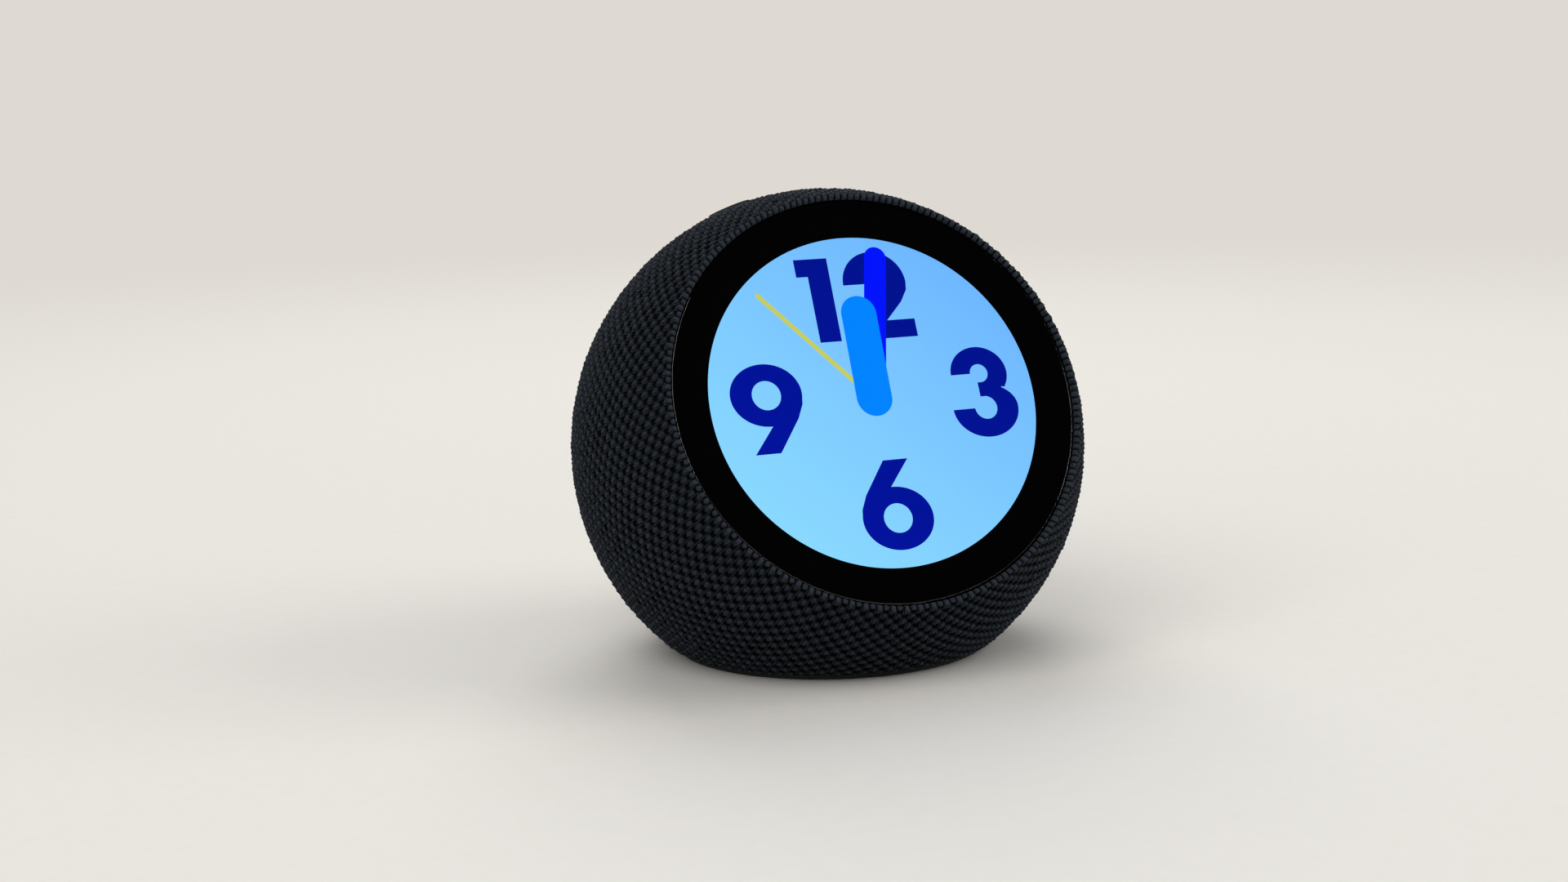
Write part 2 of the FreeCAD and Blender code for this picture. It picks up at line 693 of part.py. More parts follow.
def make_base_plate():
    """The cap under the ball, with the flared cone that turns the sound outwards."""
    piece = body("base_plate", "ball")
    under = "plate_underside - centre_height"
    floor_low = "plate_floor_bottom - centre_height"
    floor_high = "plate_floor_top - centre_height"
    rim = "plate_rim_top - centre_height"
    lap = "plate_rim_top + plate_lap_height - centre_height"
    revolve(piece, [
        ("foot_boss_radius + fit_gap", under),
        (on_ball("shell_radius", under), under, "shell_radius"),
        (on_ball("shell_radius", rim), rim),
        ("plate_lap_radius", rim),
        ("plate_lap_radius", lap),
        ("plate_lap_radius - lap_wall", lap),
        ("plate_lap_radius - lap_wall", floor_high),
        ("cone_foot_radius", floor_high, "-cone_flare"),
        ("cone_tip_radius", "cone_top - centre_height"),
        ("0", "cone_top - centre_height"),
        ("0", "cone_top - plate_floor - centre_height"),
        ("cone_tip_radius - plate_floor / 2", "cone_top - plate_floor - centre_height",
         "cone_flare + plate_floor"),
        ("cone_foot_radius - 2 * plate_floor", floor_low),
        ("foot_boss_radius + fit_gap", floor_low),
    ])
    seat = "plate_floor_bottom + screw_head_height - centre_height"
    discs(piece, PLATE_POSTS, "pass_radius", under, "plate_rim_top - centre_height", cut=True)
    discs(piece, PLATE_POSTS, "screw_head_radius + hole_clearance", floor_low, seat, cut=True)


def make_foot():
    """The rubber foot: a disc as wide as the flat, with a boss that finds the plate's recess."""
    piece = body("foot", "ground")
    top = "foot_thickness + foot_boss_height"
    revolve(piece, [
        ("0", "0"),
        ("foot_radius - foot_edge", "0", "foot_edge"),
        ("foot_radius", "foot_edge"),
        ("foot_radius", "foot_thickness"),
        ("foot_boss_radius", "foot_thickness"),
        ("foot_boss_radius", top),
        ("0", top),
    ])


def make_glass():
    piece = body("cover_glass", "display")
    revolve(piece, [
        ("0", "glass_back"),
        ("glass_radius - tape_inset", "glass_back"),
        ("glass_radius", "glass_back + tape_inset"),
        ("glass_radius", "glass_front - glass_edge", "glass_edge"),
        ("glass_radius - glass_edge", "glass_front"),
        ("0", "glass_front"),
    ])
    tape = body("glass_tape", "display")
    revolve(tape, [
        ("glass_radius - tape_inset - tape_width", "seat_face"),
        ("glass_radius - tape_inset", "seat_face"),
        ("glass_radius - tape_inset", "glass_back"),
        ("glass_radius - tape_inset - tape_width", "glass_back"),
    ])


def make_display():
    """The round panel with its chin, the light guide tray behind it and the plate that holds them."""
    panel = body("display_panel", "display")
    front = "glass_back - polariser_thickness"
    discs(panel, [("0", "0")], "panel_radius", "panel_back", front)
    block(panel, [("-chin_half_width", "-chin_reach"), ("chin_half_width", "-chin_reach"),
                  ("chin_half_width", "-panel_radius / 2"), ("-chin_half_width", "-panel_radius / 2")],
          "panel_back", front)
    discs(panel, [("0", "0")], "panel_radius - panel_border", front, "glass_back")
    tray = body("backlight_tray", "display")
    discs(tray, [("0", "0")], "panel_radius", "backlight_back", "panel_back")
    bracket = body("display_bracket", "display")
    discs(bracket, [("0", "0")], "bracket_radius", "bracket_back", "bracket_front")
    discs(bracket, EARS, "ear_radius", "bracket_back", "bracket_front")
    discs(bracket, STANDOFFS, "standoff_radius", "board_front", "bracket_front")
    discs(bracket, EARS, "pass_radius", "bracket_back", "bracket_front", cut=True)
    discs(bracket, STANDOFFS, "pilot_radius", "board_front", "bracket_front", cut=True)
    notch = "ribbon_half_width + hole_clearance"
    block(bracket, [(f"-({notch})", "-body_radius"), (notch, "-body_radius"),
                    (notch, "-panel_radius"), (f"-({notch})", "-panel_radius")],
          "bracket_back", "bracket_front", cut=True)
    screws("display_screws", "display", EARS, "bracket_back", "seat_face - pilot_cap - tip_gap")


def make_display_ribbon():
    """The flat cable from the panel's chin round to a socket on the back of the main board."""
    ribbon = body("display_ribbon", "display")
    outer = "-chin_reach + ribbon_thickness"
    inner = "-chin_reach + 2 * ribbon_thickness"
    low = "board_back - socket_height"
    slab(ribbon, [
        (outer, "panel_back"),
        (outer, f"{low} + ribbon_bend", "ribbon_bend"),
        (f"{outer} + ribbon_bend", low),
        ("ribbon_end", low),
        ("ribbon_end", f"{low} + ribbon_thickness"),
        (f"{outer} + ribbon_bend", f"{low} + ribbon_thickness", "-(ribbon_bend - ribbon_thickness)"),
        (inner, f"{low} + ribbon_bend"),
        (inner, "panel_back - ribbon_thickness"),
        ("-panel_radius - fit_gap", "panel_back - ribbon_thickness"),
        ("-panel_radius - fit_gap", "panel_back"),
    ], "2 * ribbon_half_width")


def make_main_board():
    board = body("main_board", "display")
    discs(board, [("0", "0")], "board_radius", "board_back", "board_front")
    discs(board, STANDOFFS, "pass_radius", "board_back", "board_front", cut=True)
    screws("board_screws", "display", STANDOFFS, "board_back", "bracket_front - tip_gap")
    can = body("shield_can", "display")
    block(can, rectangle("can_half_width", "can_half_height"), "can_back", "board_back")
    pressed = can.Tip
    upright = [f"Edge{number}" for number, edge in enumerate(pressed.Shape.Edges, 1)
               if abs(edge.Vertexes[0].Z - edge.Vertexes[1].Z) > value("can_height") / 2]
    rounded = can.newObject("PartDesign::Fillet", "can_corners")
    rounded.Base = (pressed, upright)
    rounded.setExpression("Radius", bound("can_corner"))
    doc.recompute()
    pad = body("thermal_pad", "display")
    block(pad, rectangle("can_half_width", "can_half_height"), "pad_back", "can_back")
    spreader = body("heat_spreader", "display")
    block(spreader, rectangle("spreader_half_width", "spreader_half_height"),
          "spreader_back", "pad_back")
    sockets = body("board_sockets", "display")
    half = "(ribbon_half_width + socket_height)"
    block(sockets, [(f"-{half}", "ribbon_end"), (half, "ribbon_end"), (half, "ribbon_end + socket_length"),
                    (f"-{half}", "ribbon_end + socket_length")], "board_back - socket_height", "board_back")


def dome_cut(piece, radius):
    """Takes away what stands outside a sphere about the frame's origin, near its Z axis."""
    wide = "button_pitch + button_flange + button_radius"
    revolve(piece, [
        ("0", radius, f"-({radius})"),
        (wide, on_ball(radius, wide)),
        (wide, "2 * body_radius"),
        ("0", "2 * body_radius"),
    ], "Groove")


def make_button(name, across):
    """A cap that stands a little proud of the knit, with a flange inside the dome and a stem."""
    cap = body(name, "button")
    spot = [(across, "0")]
    flange_ball = "shell_inside - flange_clearance"
    flange_low = f"{on_ball(flange_ball, f'abs({across}) + button_flange')} - flange_thickness"
    discs(cap, spot, "button_flange", flange_low, "shell_inside")
    dome_cut(cap, flange_ball)
    discs(cap, spot, "button_radius", flange_low, "body_radius + 2 * button_proud")
    dome_cut(cap, "body_radius + button_proud")
    discs(cap, spot, "stem_radius", "stem_bottom", flange_low)
    plunger = body(name + "_plunger", "button")
    discs(plunger, spot, "plunger_radius", "stem_bottom - plunger_length", "stem_bottom")


def make_key_board():
    """The button board under the dome, with its three switches and two microphone boots."""
    board = body("button_board", "button")
    low = "key_board_top - key_board_thickness"
    block(board, rectangle("key_board_half_length", "key_board_half_width"), low, "key_board_top")
    discs(board, KEY_POSTS, "pass_radius", low, "key_board_top", cut=True)
    screws("button_board_screws", "button", KEY_POSTS, low, "key_board_top + key_post_depth - tip_gap")
    switches = body("button_switches", "button")
    half = "switch_half_width"
    for across, _ in BUTTON_SPOTS:
        block(switches, [(f"{across} - {half}", f"-{half}"), (f"{across} + {half}", f"-{half}"),
                         (f"{across} + {half}", half), (f"{across} - {half}", half)],
              "key_board_top", "switch_top")
    discs(switches, BUTTON_SPOTS, "plunger_radius + fit_gap", "switch_top - switch_well",
          "switch_top", cut=True)
    boots = body("microphone_boots", "button")
    reach = f"{on_ball('shell_inside', 'microphone_x + microphone_radius')} - fit_gap"
    discs(boots, MICROPHONES, "microphone_radius", "key_board_top", reach)
    discs(boots, MICROPHONES, "microphone_bore", "key_board_top", "body_radius", cut=True)


def chamber_profile(low, inset, mouth):
    """Half of the chamber's section: a drum with a rounded shoulder."""
    radius = f"chamber_radius - {inset}"
    top = f"chamber_top - {inset} - centre_height"
    bend = f"(chamber_shoulder - {inset})"
    return [
        (mouth, low),
        (radius, low),
        (radius, f"{top} - {bend}", bend),
        (f"{radius} - {bend}", top),
        ("0", top),
    ]


def make_chamber():
    """The sealed box behind the driver, flat where it backs on to the display."""
    low = "chamber_bottom - centre_height"
    flange_top = "chamber_bottom + chamber_flange - centre_height"
    outside = body("chamber_outside", "ball", kept=False)
    revolve(outside, chamber_profile(low, "0", "0"))
    discs(outside, CHAMBER_POSTS, "chamber_post_radius", low, flange_top)
    discs(outside, [("0", "0")], "chamber_post_ring", low, flange_top)
    shear(outside, FORWARD, "chamber_front")
    discs(outside, CHAMBER_POSTS, "pass_radius", low, flange_top, cut=True)
    discs(outside, [("0", "0")], "chamber_mouth", low, flange_top, cut=True)
    discs(outside, [(f"speaker_lead_ring {side} lead_pitch / 2", "0") for side in ("-", "+")],
          "lead_radius + lead_clearance", "chamber_top - centre_height - 2 * chamber_wall",
          "chamber_top - centre_height", cut=True)
    discs(outside, DRIVER_SCREWS, "pilot_radius", low, f"{flange_top} - post_cap + tip_gap", cut=True)
    hollow = body("chamber_hollow", "ball", kept=False)
    revolve(hollow, chamber_profile(flange_top, "chamber_wall", "0"))
    shear(hollow, FORWARD, "chamber_front - chamber_wall")
    chamber = doc.addObject("Part::Cut", "acoustic_chamber")
    chamber.Label = "acoustic_chamber"
    chamber.Base = outside
    chamber.Tool = hollow
    doc.recompute()
    PIECES.append(chamber)
    screws("chamber_screws", "ball", CHAMBER_POSTS, flange_top, "plate_post_top + tip_gap - centre_height")


def make_driver():
    """The small full range driver, facing down: basket, motor, cone and its two suspensions."""
    basket = body("driver_basket", "driver")
    plate = "basket_height - basket_wall"
    revolve(basket, [
        ("driver_flange_radius", "-basket_wall"),
        ("driver_flange_radius", "0"),
        ("basket_radius", "0"),
        ("basket_radius", "basket_skirt"),
        ("basket_top_radius", "basket_height"),
        ("basket_bore", "basket_height"),
        ("basket_bore", plate),
        ("basket_top_radius - basket_wall", plate),
        ("basket_radius - basket_wall", "basket_skirt"),
        ("basket_radius - basket_wall", "-basket_wall"),
    ])
    drawing = sketch(basket, "XZ_Plane")
    outline(drawing, [("-window_half_width", "window_bottom"), ("window_half_width", "window_bottom"),
                      ("window_half_width / 2", "window_top"), ("-window_half_width / 2", "window_top")])
    window = basket.newObject("PartDesign::Pocket", "window")
    window.Profile = drawing
    window.setExpression("Length", bound("driver_flange_radius"))
    doc.recompute()
    polar(basket, window, "window_count")
    discs(basket, DRIVER_SCREWS, "pass_radius", "-basket_wall", "0", cut=True)
    screws("driver_screws", "driver", DRIVER_SCREWS, "-basket_wall",
           "gasket_thickness + chamber_flange - post_cap")
    gasket = body("driver_gasket", "driver")
    revolve(gasket, [("basket_radius + fit_gap", "0"), ("driver_flange_radius", "0"),
                     ("driver_flange_radius", "gasket_thickness"),
                     ("basket_radius + fit_gap", "gasket_thickness")])
    discs(gasket, DRIVER_SCREWS, "pass_radius", "0", "gasket_thickness", cut=True)


def make_motor():
    """The front plate, the ring magnet, and the yoke whose pole stands inside the voice coil."""
    gap_wall = "coil_outside + winding_thickness + fit_gap"
    plate_top = "basket_height + front_plate_thickness"
    magnet_top = f"{plate_top} + magnet_thickness"
    front = body("front_plate", "driver")
    revolve(front, [(gap_wall, "basket_height"), ("front_plate_radius", "basket_height"),
                    ("front_plate_radius", plate_top), (gap_wall, plate_top)])
    magnet = body("ring_magnet", "driver")
    revolve(magnet, [("magnet_bore", plate_top), ("magnet_radius", plate_top),
                     ("magnet_radius", magnet_top), ("magnet_bore", magnet_top)])
    yoke = body("pole_yoke", "driver")
    revolve(yoke, [("0", "basket_height"), ("pole_radius", "basket_height"), ("pole_radius", magnet_top),
                   ("yoke_radius", magnet_top), ("yoke_radius", "yoke_back"), ("0", "yoke_back")])


def make_cone():
    """What moves when it plays: the paper cone, its dust cap and the voice coil."""
    middle = "basket_height + front_plate_thickness / 2"
    former_top = f"{middle} + winding_length / 2 + fit_gap"
    wind_low = f"{middle} - winding_length / 2"
    wind_high = f"{middle} + winding_length / 2"
    coil = body("voice_coil", "driver")
    revolve(coil, [
        ("coil_radius", "former_bottom"),
        ("coil_outside", "former_bottom"),
        ("coil_outside", wind_low),
        ("coil_outside + winding_thickness", wind_low),
        ("coil_outside + winding_thickness", wind_high),
        ("coil_outside", wind_high),
        ("coil_outside", former_top),
        ("coil_radius", former_top),
    ])
    paper = body("speaker_cone", "driver")
    neck = "coil_outside + fit_gap"
    revolve(paper, [
        (neck, "former_bottom"),
        ("cone_radius", "cone_edge_height"),
        ("cone_radius + paper_thickness", "cone_edge_height"),
        (neck, "former_bottom + neck_thickness"),
    ])
    cap = body("dust_cap", "driver")
    rim = "former_bottom - fit_gap"
    bulge = "((coil_outside^2 + cap_rise^2) / (2 * cap_rise))"
    inside = "(cap_rise - paper_thickness)"
    inner = f"(((coil_outside - paper_thickness)^2 + {inside}^2) / (2 * {inside}))"
    revolve(cap, [
        ("0", f"{rim} - cap_rise", bulge),
        ("coil_outside", rim),
        ("coil_outside - paper_thickness", rim, f"-{inner}"),
        ("0", f"{rim} - cap_rise + paper_thickness"),
    ])


def make_suspension():
    """The rubber half roll round the cone, and the corrugated disc that centres the coil."""
    surround = body("cone_surround", "driver")
    flat = "-basket_wall"
    start = "cone_radius - paper_thickness"
    end = "basket_radius - basket_wall"
    lip = "driver_screw_ring - screw_head_radius - fit_gap"
    half = f"(({end}) - ({start})) / 2"
    roll = f"(({half})^2 + roll_height^2) / (2 * roll_height)"
    inner_half = f"({half} - rubber_thickness)"
    inner_height = "(roll_height - rubber_thickness)"
    inner_roll = f"({inner_half}^2 + {inner_height}^2) / (2 * {inner_height})"
    below = f"{flat} - rubber_thickness"
    revolve(surround, [
        (start, flat),
        (start, below, roll),
        (end, below),
        (lip, below),
        (lip, flat),
        (f"{end} - rubber_thickness", flat),
        (f"{end} - rubber_thickness", below, f"-({inner_roll})"),
        (f"{start} + rubber_thickness", below),
        (f"{start} + rubber_thickness", flat),
    ])
    spider = body("spider", "driver")
    hub = "coil_outside + fit_gap"
    waves = 3
    pitch = f"((spider_radius - ({hub})) / {2 * waves})"
    under = [(f"{hub} + {step} * {pitch}", f"spider_height {'+' if step % 2 else '-'} paper_thickness / 2")
             for step in range(2 * waves + 1)]
    over = [(across, f"{height} + paper_thickness") for across, height in reversed(under)]
    revolve(spider, under + over)


def make_leads(name, across, behind, start, shorter):
    """Two insulated wires that rise straight up, bend once, and meet the main board's back squarely.

    shorter is the shorter of the two straight runs that meet in the bend, which sets its radius.
    """
    leads = body(name, "ball")
    corner = f"((lead_at - ({behind}) * sin(tilt_angle)) / cos(tilt_angle))"
    run = f"(board_back - (lead_at * sin(tilt_angle) - ({behind})) / cos(tilt_angle))"
    taken = f"(bend_share * {shorter.format(run=run, rise=f'({corner} - ({start}))')})"
    bend = f"{taken} / tan((90 - tilt_angle) / 2)"
    for side in ("-", "+"):
        at = f"{across} {side} lead_pitch / 2"
        spot = sketch(leads, "XY_Plane", start)
        edge = spot.addGeometry(Part.Circle(Vector(value(at), value(behind), 0), Vector(0, 0, 1),
                                            value("lead_radius")))
        fix(spot, "DistanceX", (-1, 1, edge, 3), at)
        fix(spot, "DistanceY", (-1, 1, edge, 3), behind)
        fix(spot, "Radius", (edge,), "lead_radius")
        route = sketch(leads, "YZ_Plane", at)
        follow(route, [
            (behind, start),
            (behind, f"{corner} - {taken}", bend),
            (f"{behind} - {taken} * cos(tilt_angle)", f"{corner} + {taken} * sin(tilt_angle)"),
            (f"{behind} - {run} * cos(tilt_angle)", f"{corner} + {run} * sin(tilt_angle)"),
        ])
        wire = leads.newObject("PartDesign::AdditivePipe", name + "_wire")
        wire.Profile = spot
        wire.Spine = (route, ["Edge1", "Edge2", "Edge3"])
        doc.recompute()
    straight = value(run) + value(f"{corner} - ({start})")
    turn = math.radians(90 - value("tilt_angle"))
    long = straight - 2 * value(taken) + value(bend) * turn
    print(name, "bend radius", round(value(bend), 2), "mm, volume over section times length",
          round(leads.Shape.Volume / (2 * math.pi * value("lead_radius") ** 2 * long), 4))


def make_key_ribbon():
    """The flat cable that hangs from the button board and bends over to the back of the main board."""
    ribbon = body("button_ribbon", "display")
    lean_over = "(tilt_angle - button_lean)"
    middle = "(key_ribbon_at + ribbon_thickness + key_ribbon_bend)"
    level = "(board_back - key_ribbon_drop)"
    reach = (f"(key_board_top - key_board_thickness - {middle} * cos({lean_over})"
             f" - {level} * sin({lean_over}))")

    def leg(radius, length):
        return (f"{middle} + ({radius}) * sin({lean_over}) + {length} * cos({lean_over})",
                f"{level} - ({radius}) * cos({lean_over}) + {length} * sin({lean_over})")

    outer = "key_ribbon_bend + ribbon_thickness"
    slab(ribbon, [
        ("key_ribbon_at", "board_back"),
        ("key_ribbon_at", level, outer),
        leg(outer, "0"),
        leg(outer, reach),
        leg("key_ribbon_bend", reach),
        (*leg("key_ribbon_bend", "0"), "-key_ribbon_bend"),
        ("key_ribbon_at + ribbon_thickness", level),
        ("key_ribbon_at + ribbon_thickness", "board_back"),
    ], "2 * key_ribbon_half_width", across="-key_ribbon_across")


def make_terminals():
    """The small block on the basket's side, a segment of a ring, where the driver's leads start."""
    block_on_basket = body("driver_terminals", "driver")
    outside = "speaker_lead_ring + lead_pitch + lead_radius"
    feature = revolve(block_on_basket, [
        (f"basket_top_radius + (basket_height - {height}) * basket_flare", height)
        for height in ("terminal_top", "terminal_low")
    ] + [(outside, "terminal_low"), (outside, "terminal_top")])
    feature.Midplane = True
    feature.setExpression("Angle", bound("terminal_sweep"))
    doc.recompute()


def make_inlet():
    """The round power inlet at the back: a ring in the knit, the jack's barrel and its pin."""
    bezel = body("inlet_ring", "inlet")
    back = "-inlet_flange_back"
    face = "-inlet_flange_back + inlet_flange_thickness"
    revolve(bezel, [
        ("inlet_ring_bore", back),
        ("inlet_flange_radius", back),
        ("inlet_flange_radius", face),
        ("inlet_ring_radius", face),
        ("inlet_ring_radius", "-inlet_edge", "inlet_edge"),
        ("inlet_ring_radius - inlet_edge", "0"),
        ("inlet_ring_bore", "0"),
    ])
    jack = body("power_jack", "inlet")
    floor = "-inlet_recess - jack_depth"
    end = "-inlet_recess - jack_length"
    revolve(jack, [
        ("0", end),
        ("jack_radius", end),
        ("jack_radius", "-inlet_recess"),
        ("jack_bore", "-inlet_recess"),
        ("jack_bore", floor),
        ("0", floor),
    ])
    block(jack, rectangle("jack_block_half", "jack_block_half"), end, f"{end} + jack_block_length")
    discs(jack, [("0", "0")], "jack_bore", floor, "0", cut=True)
    discs(jack, [("0", "0")], "jack_pin_radius + fit_gap", f"{end} + jack_end_wall", "0", cut=True)
    pin = body("jack_pin", "inlet")
    discs(pin, [("0", "0")], "jack_pin_radius", f"{end} + jack_end_wall", f"{floor} + jack_pin_length")


def make_antenna(name, side):
    """A thin flexible antenna stuck inside the dome: a patch of a sphere."""
    near = doc.addObject("Part::Sphere", name + "_outside")
    near.setExpression("Radius", bound("shell_inside - antenna_gap"))
    far = doc.addObject("Part::Sphere", name + "_inside")
    far.setExpression("Radius", bound("shell_inside - antenna_gap - antenna_thickness"))
    film = doc.addObject("Part::Cut", name + "_film")
    film.Base = near
    film.Tool = far
    window = doc.addObject("Part::Box", name + "_window")
    window.setExpression("Length", bound("body_radius"))
    window.setExpression("Width", bound("antenna_length"))
    window.setExpression("Height", bound("antenna_height"))
    window.setExpression("Placement.Base.x", bound("0" if side > 0 else "-body_radius"))
    window.setExpression("Placement.Base.y", bound("antenna_near"))
    window.setExpression("Placement.Base.z", bound("antenna_bottom"))
    patch = doc.addObject("Part::Common", name)
    patch.Label = name
    patch.Base = film
    patch.Tool = window
    lean(patch, "Placement", *FRAMES["ball"])
    doc.recompute()
    PIECES.append(patch)


make_fabric_cover()
make_front_frame()
make_upper_shell()
make_lower_shell()
make_base_plate()
make_foot()
make_glass()
make_display()
make_display_ribbon()
make_main_board()
for label, (place, _) in zip(("button_left", "button_middle", "button_right"), BUTTON_SPOTS):
    make_button(label, place)
make_key_board()
screws("housing_screws", "ball", LUGS, "-lap_length", "lap_length + boss_length / 2 - tip_gap")
screws("base_screws", "ball", PLATE_POSTS, "plate_floor_bottom + screw_head_height - centre_height",
       "plate_post_top - post_cap - tip_gap - centre_height")
make_chamber()
make_driver()
make_motor()
make_cone()
make_suspension()
make_inlet()
make_key_ribbon()
make_terminals()
make_leads("power_leads", "0", "inlet_face - inlet_recess - jack_length + jack_block_length / 2",
           "inlet_height + jack_block_half - centre_height", "{rise}")
make_leads("speaker_leads", "speaker_lead_ring", "0", "driver_height + terminal_top - centre_height", "{run}")
make_antenna("antenna_left", -1)
make_antenna("antenna_right", 1)

doc.recompute()
faults = [item.Name for item in doc.Objects if {"Invalid", "Error"} & set(item.State)]
for piece in PIECES:
    if piece.Shape.isNull() or not piece.Shape.isValid():
        faults.append(piece.Label)
if faults:
    raise SystemExit("These failed: " + ", ".join(faults))

os.makedirs("parts", exist_ok=True)
for piece in PIECES:
    piece.Shape.exportStep(os.path.join("parts", piece.Label + ".step"))
    print(piece.Label, len(piece.Shape.Solids), round(piece.Shape.Volume, 1))
print(len(PIECES), "pieces written")
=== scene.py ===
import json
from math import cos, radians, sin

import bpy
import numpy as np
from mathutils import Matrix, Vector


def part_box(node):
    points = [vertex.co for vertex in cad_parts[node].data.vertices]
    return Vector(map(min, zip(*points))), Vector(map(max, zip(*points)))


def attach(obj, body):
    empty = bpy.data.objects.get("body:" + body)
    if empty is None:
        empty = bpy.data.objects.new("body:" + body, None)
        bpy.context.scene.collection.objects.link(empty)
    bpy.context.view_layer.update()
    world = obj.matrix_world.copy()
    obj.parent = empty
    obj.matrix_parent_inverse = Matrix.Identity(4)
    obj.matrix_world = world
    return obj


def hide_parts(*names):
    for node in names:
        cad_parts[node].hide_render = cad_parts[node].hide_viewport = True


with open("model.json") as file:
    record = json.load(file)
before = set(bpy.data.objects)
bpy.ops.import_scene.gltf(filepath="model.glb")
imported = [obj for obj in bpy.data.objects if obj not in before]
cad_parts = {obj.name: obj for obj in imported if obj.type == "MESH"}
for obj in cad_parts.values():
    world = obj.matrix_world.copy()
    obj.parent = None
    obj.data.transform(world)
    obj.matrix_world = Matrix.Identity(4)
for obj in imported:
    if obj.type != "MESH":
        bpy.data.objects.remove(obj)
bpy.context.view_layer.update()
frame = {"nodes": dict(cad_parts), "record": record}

# %% [markdown]
# # A ball-shaped speaker clock
# The object is a ball 108 mm across, in a knitted sleeve, cut flat underneath, with a round display leaning
# back in its front. The solids of every part come in as a frame that never moves. What this file adds is what
# solids leave out: the stitches of the sleeve, the lit clock face, and a finish for each part.
# The frame came in with the lines above; here are its measures.

scene = bpy.context.scene
nodes = frame["nodes"]

# %% [markdown]
# ## Where the camera stands
# The camera comes before anything else, because each later piece is judged through it. Its place was worked
# out from the outline of the ball, the rim of the display and the figures 12, 3, 6 and 9, which together fix
# how far away the lens was, how it was turned, and that it leaned 1.6 degrees to one side. The three directions
# are given as they are, since angles would need an order of turning. Focal length and sensor are in millimetres.

# %% The camera
RIGHT = (0.93378, -0.35673, -0.02832)
UPWARD = (0.08349, 0.14020, 0.98660)
BACKWARD = (-0.34797, -0.92363, 0.16070)
STAND = (-0.19286, -0.48595, 0.12880)
FOCAL, SENSOR = 57.4, 36.0
NEAREST = 0.02

lens = bpy.data.cameras.new("view_of_the_clock")
lens.lens, lens.sensor_width, lens.clip_start = FOCAL, SENSOR, NEAREST
camera = bpy.data.objects.new("view_of_the_clock", lens)
scene.collection.objects.link(camera)
stance = Matrix([RIGHT, UPWARD, BACKWARD]).transposed().to_4x4()
stance.translation = STAND
camera.matrix_world = stance
scene.camera = camera
print("the lens stands", round(float(np.linalg.norm(STAND)), 3), "m from the middle of the foot")

# %% [markdown]
# ## Measures read from the frame
# Nothing is placed by eye: the ball's radius and middle, and the planes of the glass and the panel, are read
# from the solids. A plane's distance is how far along the display's normal it lies from the ball's middle.

# %% The ball and the display
MM = 0.001
LEAN = radians(25.9)
SIDE = np.array((1.0, 0.0, 0.0))
RISE = np.array((0.0, sin(LEAN), cos(LEAN)))
FACING = np.array((0.0, -cos(LEAN), sin(LEAN)))


def corners_of(node):
    """Every corner point of a CAD part, as an array."""
    mesh = nodes[node].data
    points = np.empty(3 * len(mesh.vertices), np.float32)
    mesh.vertices.foreach_get("co", points)
    return points.reshape(-1, 3).astype(float)


low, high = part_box("fabric_cover")
BALL = (high.x - low.x) / 2
MIDDLE = np.array((0.0, 0.0, high.z - BALL))
FLAT = low.z
glass_points = corners_of("cover_glass") - MIDDLE
GLASS_FRONT = float((glass_points @ FACING).max())
PANEL_FRONT = float(((corners_of("display_panel") - MIDDLE) @ FACING).max())
GLASS_RADIUS = float(np.linalg.norm(glass_points - np.outer(glass_points @ FACING, FACING), axis=1).max())
print("ball radius, glass plane, panel plane, glass radius in mm:",
      [round(1000 * x, 2) for x in (BALL, GLASS_FRONT, PANEL_FRONT, GLASS_RADIUS)])

# %% [markdown]
# ## Colours and nodes
# A colour is easiest to choose as the hex code that a screen shows, but a shader counts in linear light, so one
# function turns the one into the other. Another adds a node with its settings and links, which saves three lines
# for every node that follows.

# %% A colour and a node
def linear(code):
    """A hex colour as a screen shows it, turned into the linear light that shaders use, by the sRGB curve."""
    shown = np.array([int(code[i:i + 2], 16) for i in (1, 3, 5)]) / 255
    return (*np.where(shown <= 0.04045, shown / 12.92, ((shown + 0.055) / 1.055) ** 2.4).tolist(), 1.0)


def add(tree, kind, inputs=(), **settings):
    """Adds one node to a tree; an input is given by name or number, as a value or as another node's output."""
    node = tree.nodes.new("ShaderNode" + kind)
    for name, value in settings.items():
        setattr(node, name, value)
    for name, value in dict(inputs).items():
        if isinstance(value, bpy.types.NodeSocket):
            tree.links.new(value, node.inputs[name])
        else:
            node.inputs[name].default_value = value
    return node


print("#808080 in linear light:", [round(x, 3) for x in linear("#808080")])

# %% [markdown]
# ## A stitch in numbers
# Knitters call a column of stitches a wale and a row a course. A stitch has a round head, a body that tapers away
# from it, and a strand of yarn on each side. The mesh raises these forms and the material draws them finer, so
# both take their sizes from here: widths are halves, in wales, and lengths are in courses, from the head's middle.

# %% The sizes of a stitch
WALES = 96
COURSE = radians(1.54)
HEAD_WIDE, HEAD_LONG = 0.18, 0.46
BODY_WIDE, BODY_LONG, BODY_BACK, BODY_TALL = 0.2, 1.28, 0.5, 0.74
STRAND_AT, STRAND_WIDE, STRAND_MIDDLE, STRAND_LONG, STRAND_TALL = 0.25, 0.1, 0.35, 0.75, 0.86
BEAD_WIDE, BEAD_MIDDLE, BEAD_LONG = 0.26, -0.75, 1.05
print("a stitch is", round(float(2 * np.pi * BALL / WALES / MM), 2), "mm apart at the ball's waist and",
      round(float(BALL * COURSE / MM), 2), "mm from the next course")

